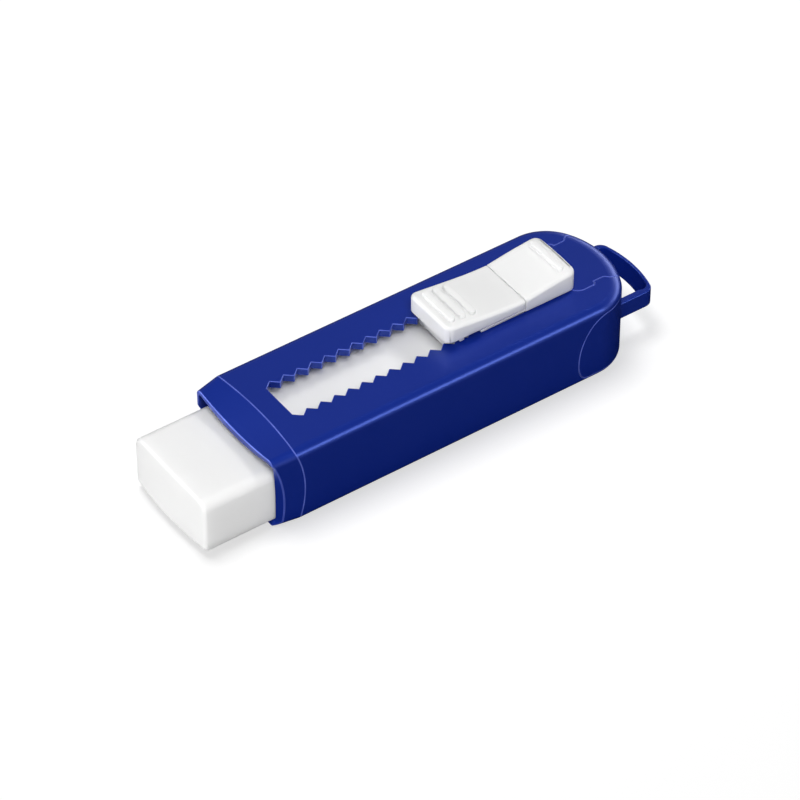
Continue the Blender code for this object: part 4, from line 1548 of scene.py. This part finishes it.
@dataclass
class EraserHolder(Piece):
    """White carrier with a top plate, a back plate and two prongs, in millimetres."""

    finish: Finish = Palette.WHITE_PLASTIC
    place: Place = Place("holder_frame", "carriage", "eraser_holder", "white_plastic")
    front: float = 3.6
    tail: float = 21.1
    half_width: float = 9.0
    low: float = 12.8
    high: float = 13.6
    back_front: float = 10.4
    back_rear: float = 11.9
    back_half: float = 10.9
    back_low: float = 1.9
    window_front: float = 13.5
    window_rear: float = 18.1
    window_half: float = 3.8
    prong_radius: float = 1.0
    prong_tip: float = 0.5
    prong_length: float = 10.5
    prong_inset: float = 0.1
    prong_spacing: float = PRONG_SPACING
    prong_level: float = 6.95
    edge_width: float = 0.15

    def form(self) -> Form:
        """Join the plates and prongs, cut the window and round the edges.

        Returns:
            The closed form.
        """
        middle = (self.low + self.high) / 2
        form = Form.box((self.front, -self.half_width, self.low), (self.tail, self.half_width, self.high))
        form.add_box((self.back_front, -self.back_half, self.back_low),
                     (self.back_rear, self.back_half, middle))
        form.cut_box((self.window_front, -self.window_half, self.low - CUT_REACH / 2),
                     (self.window_rear, self.window_half, self.high + CUT_REACH / 2))
        for across in (-self.prong_spacing / 2, self.prong_spacing / 2):
            start = (self.back_rear - self.prong_inset, across, self.prong_level)
            prong = Form.rod(start, self.prong_radius, self.prong_tip, self.prong_length)
            form.combine(prong, Merge.ADD)
        return form.round_corners(self.edge_width)


@dataclass
class LatchSpring(Piece):
    """White latch: a toothed plate under the slot, its post and its spring leaf, in millimetres."""

    finish: Finish = Palette.WHITE_PLASTIC
    place: Place = Place("latch_leaf", "button", "latch_spring", "white_plastic")
    middle: float = 4.6
    tooth_pitch: float = NOTCH_PITCH
    tip_half: float = 5.0
    valley_half: float = 3.7
    front_gap: float = 1.45
    teeth_low: float = 14.35
    teeth_high: float = 15.25
    post_half_length: float = 1.9
    post_half: float = 2.2
    post_low: float = 15.0
    post_high: float = 18.7
    leaf_rear: float = 13.1
    leaf_low: float = 17.7
    leaf_high: float = 18.15
    edge_width: float = 0.08

    def form(self) -> Form:
        """Join the teeth, the post and the leaf, and round the edges.

        Returns:
            The closed form.
        """
        middle, pitch = self.middle, self.tooth_pitch
        front, rear = middle - pitch + self.front_gap, middle + pitch
        pen = Pen(front, 0.0).line(front, -self.valley_half)
        pen.line(middle - pitch / 2, -self.tip_half).line(middle, -self.valley_half)
        pen.line(middle + pitch / 2, -self.tip_half).line(rear, -self.valley_half).line(rear, 0.0)
        form = pen.solid(self.teeth_low, self.teeth_high)
        form.add_box((middle - self.post_half_length, -self.post_half, self.post_low),
                     (middle + self.post_half_length, self.post_half, self.post_high))
        form.add_box((middle, -self.post_half, self.leaf_low),
                     (self.leaf_rear, self.post_half, self.leaf_high))
        # its rounded edges are painted a little lighter: wear and a painted highlight
        return form.bevel(form.sharp_edges(CUT_TURN), self.edge_width, EDGE_STEPS, EDGE_WEAR_AND_HIGHLIGHT)


@dataclass(frozen=True)
class Softbox:
    """A soft studio lamp that faces the origin, in metres."""

    name: str
    place: Point
    size: tuple[float, float]
    power: float
    rays: Rays = Rays.LIGHT
    reach: Reach = Reach.OBJECT

    def hang(self, floor: bpy.types.Object) -> None:
        """Make the lamp.

        Args:
            floor: the floor, which the lamp leaves out or lights alone.
        """
        lamp = bpy.data.lights.new(self.name, 'AREA')
        lamp.shape = 'RECTANGLE'
        lamp.size, lamp.size_y = self.size
        lamp.energy = self.power
        made = put(self.name, lamp)
        made.location = self.place
        made.rotation_euler = Vector(self.place).to_track_quat('Z', 'Y').to_euler()
        made.visible_glossy = self.rays is Rays.GLOSS
        made.visible_diffuse = self.rays is Rays.LIGHT
        linked = bpy.data.collections.new(f"{self.name}_floor")
        linked.objects.link(floor)
        linked.collection_objects[0].light_linking.link_state = self.reach.value
        made.light_linking.receiver_collection = linked


@dataclass(frozen=True)
class Studio:
    """Camera, floor and light, in metres."""

    eye: Point = (-0.34678, -0.48502, 0.54696)
    back: Point = (-0.42448, -0.60261, 0.67578)
    focal_pixels: float = 4400.0
    frame_pixels: float = 800.0
    floor_half: float = 3.0
    floor_level: float = -0.0001
    floor_grey: float = 0.80      # for the light that it throws back
    floor_seen: float = 0.46      # for the camera, with a plain lift on top
    floor_lift: float = 0.66
    floor_roughness: float = 0.9
    fill: float = 0.10            # light from all round
    gloss_fill: float = 0.30      # the same, as a gloss shows it
    horizon: float = 0.1          # height over which it fades in
    lamps: tuple[Softbox, ...] = (
        Softbox("floor_box", (-0.03, 0.14, 0.63), (0.3, 0.3), 3.3, reach=Reach.FLOOR),
        Softbox("key_box", (-0.182, -0.325, 0.533), (0.3, 0.3), 3.2),
        Softbox("back_box", (0.358, 0.098, 0.533), (0.15, 0.15), 1.25),
        Softbox("front_box", (-0.88, 0.09, 0.12), (0.4, 0.4), 4.6),
        Softbox("edge_box", (0.38, -0.79, 0.20), (0.4, 0.4), 2.4, Rays.GLOSS),
        Softbox("rim_box", (0.74, 0.12, 0.24), (1.0, 0.25), 2.4, Rays.GLOSS),
        Softbox("lip_box", (-0.48, 0.48, 0.42), (0.4, 0.4), 3.0, Rays.GLOSS),
    )

    def build(self) -> None:
        """Set up the view, the floor, the lamps and the surroundings."""
        scene = bpy.context.scene
        lens = bpy.data.cameras.new("camera")
        lens.sensor_fit = 'HORIZONTAL'
        lens.angle = 2.0 * math.atan(self.frame_pixels / 2 / self.focal_pixels)
        scene.camera = put("camera", lens)
        scene.camera.location = self.eye
        scene.camera.rotation_euler = Vector(self.back).to_track_quat('Z', 'Y').to_euler()
        floor = self.lay_floor()
        for lamp in self.lamps:
            lamp.hang(floor)
        scene.world = self.light_room()
        scene.view_settings.view_transform = 'Standard'

    def lay_floor(self) -> bpy.types.Object:
        """Plain pale floor that keeps the object's shadow.

        Returns:
            The floor's object.
        """
        mesh = bmesh.new()
        bmesh.ops.create_grid(mesh, x_segments=1, y_segments=1, size=self.floor_half)
        bmesh.ops.translate(mesh, vec=(0.0, 0.0, self.floor_level), verts=mesh.verts)
        floor = Form(mesh).show("floor")
        mesh.free()
        floor.visible_glossy = False
        made = bpy.data.materials.new("pale_floor")
        graph = Graph.of(made)
        seen = graph.node("ShaderNodeLightPath").outputs["Is Camera Ray"]
        shade = graph.blend(seen, rgba((self.floor_grey,) * 3), rgba((self.floor_seen,) * 3))
        surface = graph.node("ShaderNodeBsdfPrincipled", Base_Color=shade, Roughness=self.floor_roughness,
                             Specular_IOR_Level=0.0, Emission_Color=rgba(WHITE),
                             Emission_Strength=graph.math('MULTIPLY', seen, self.floor_lift))
        graph.node("ShaderNodeOutputMaterial", Surface=surface.outputs["BSDF"])
        floor.data.materials.append(made)
        return floor

    def light_room(self) -> bpy.types.World:
        """White surroundings for the camera, plain soft fill from above for the object.

        Returns:
            The surroundings.
        """
        world = bpy.data.worlds.new("room")
        graph = Graph.of(world)
        place = graph.node("ShaderNodeTexCoord").outputs["Generated"]
        height = graph.node("ShaderNodeSeparateXYZ", Vector=place).outputs["Z"]
        rays = graph.node("ShaderNodeLightPath").outputs
        strength = graph.spread(rays["Is Glossy Ray"], self.fill, self.gloss_fill)
        room = graph.math('MULTIPLY', graph.spread(height, stop=self.horizon), strength)
        level = graph.math('MAXIMUM', rays["Is Camera Ray"], room)
        sky = graph.node("ShaderNodeBackground", Color=rgba(WHITE), Strength=level)
        graph.node("ShaderNodeOutputWorld", Surface=sky.outputs["Background"])
        return world


def main() -> None:
    """Build every piece in order, then the studio."""
    logging.basicConfig(level=logging.INFO, format="%(message)s")
    body = BodyShape()
    joint = CapJoint(body)
    pieces: list[Piece] = [Sleeve(body, joint), RearCap(body, joint), EraserBlock(), EraserHolder(),
                           Slider(), ThumbButton(), LatchSpring()]
    for piece in pieces:
        piece.publish()
    Studio().build()


if __name__ == "__main__":
    main()
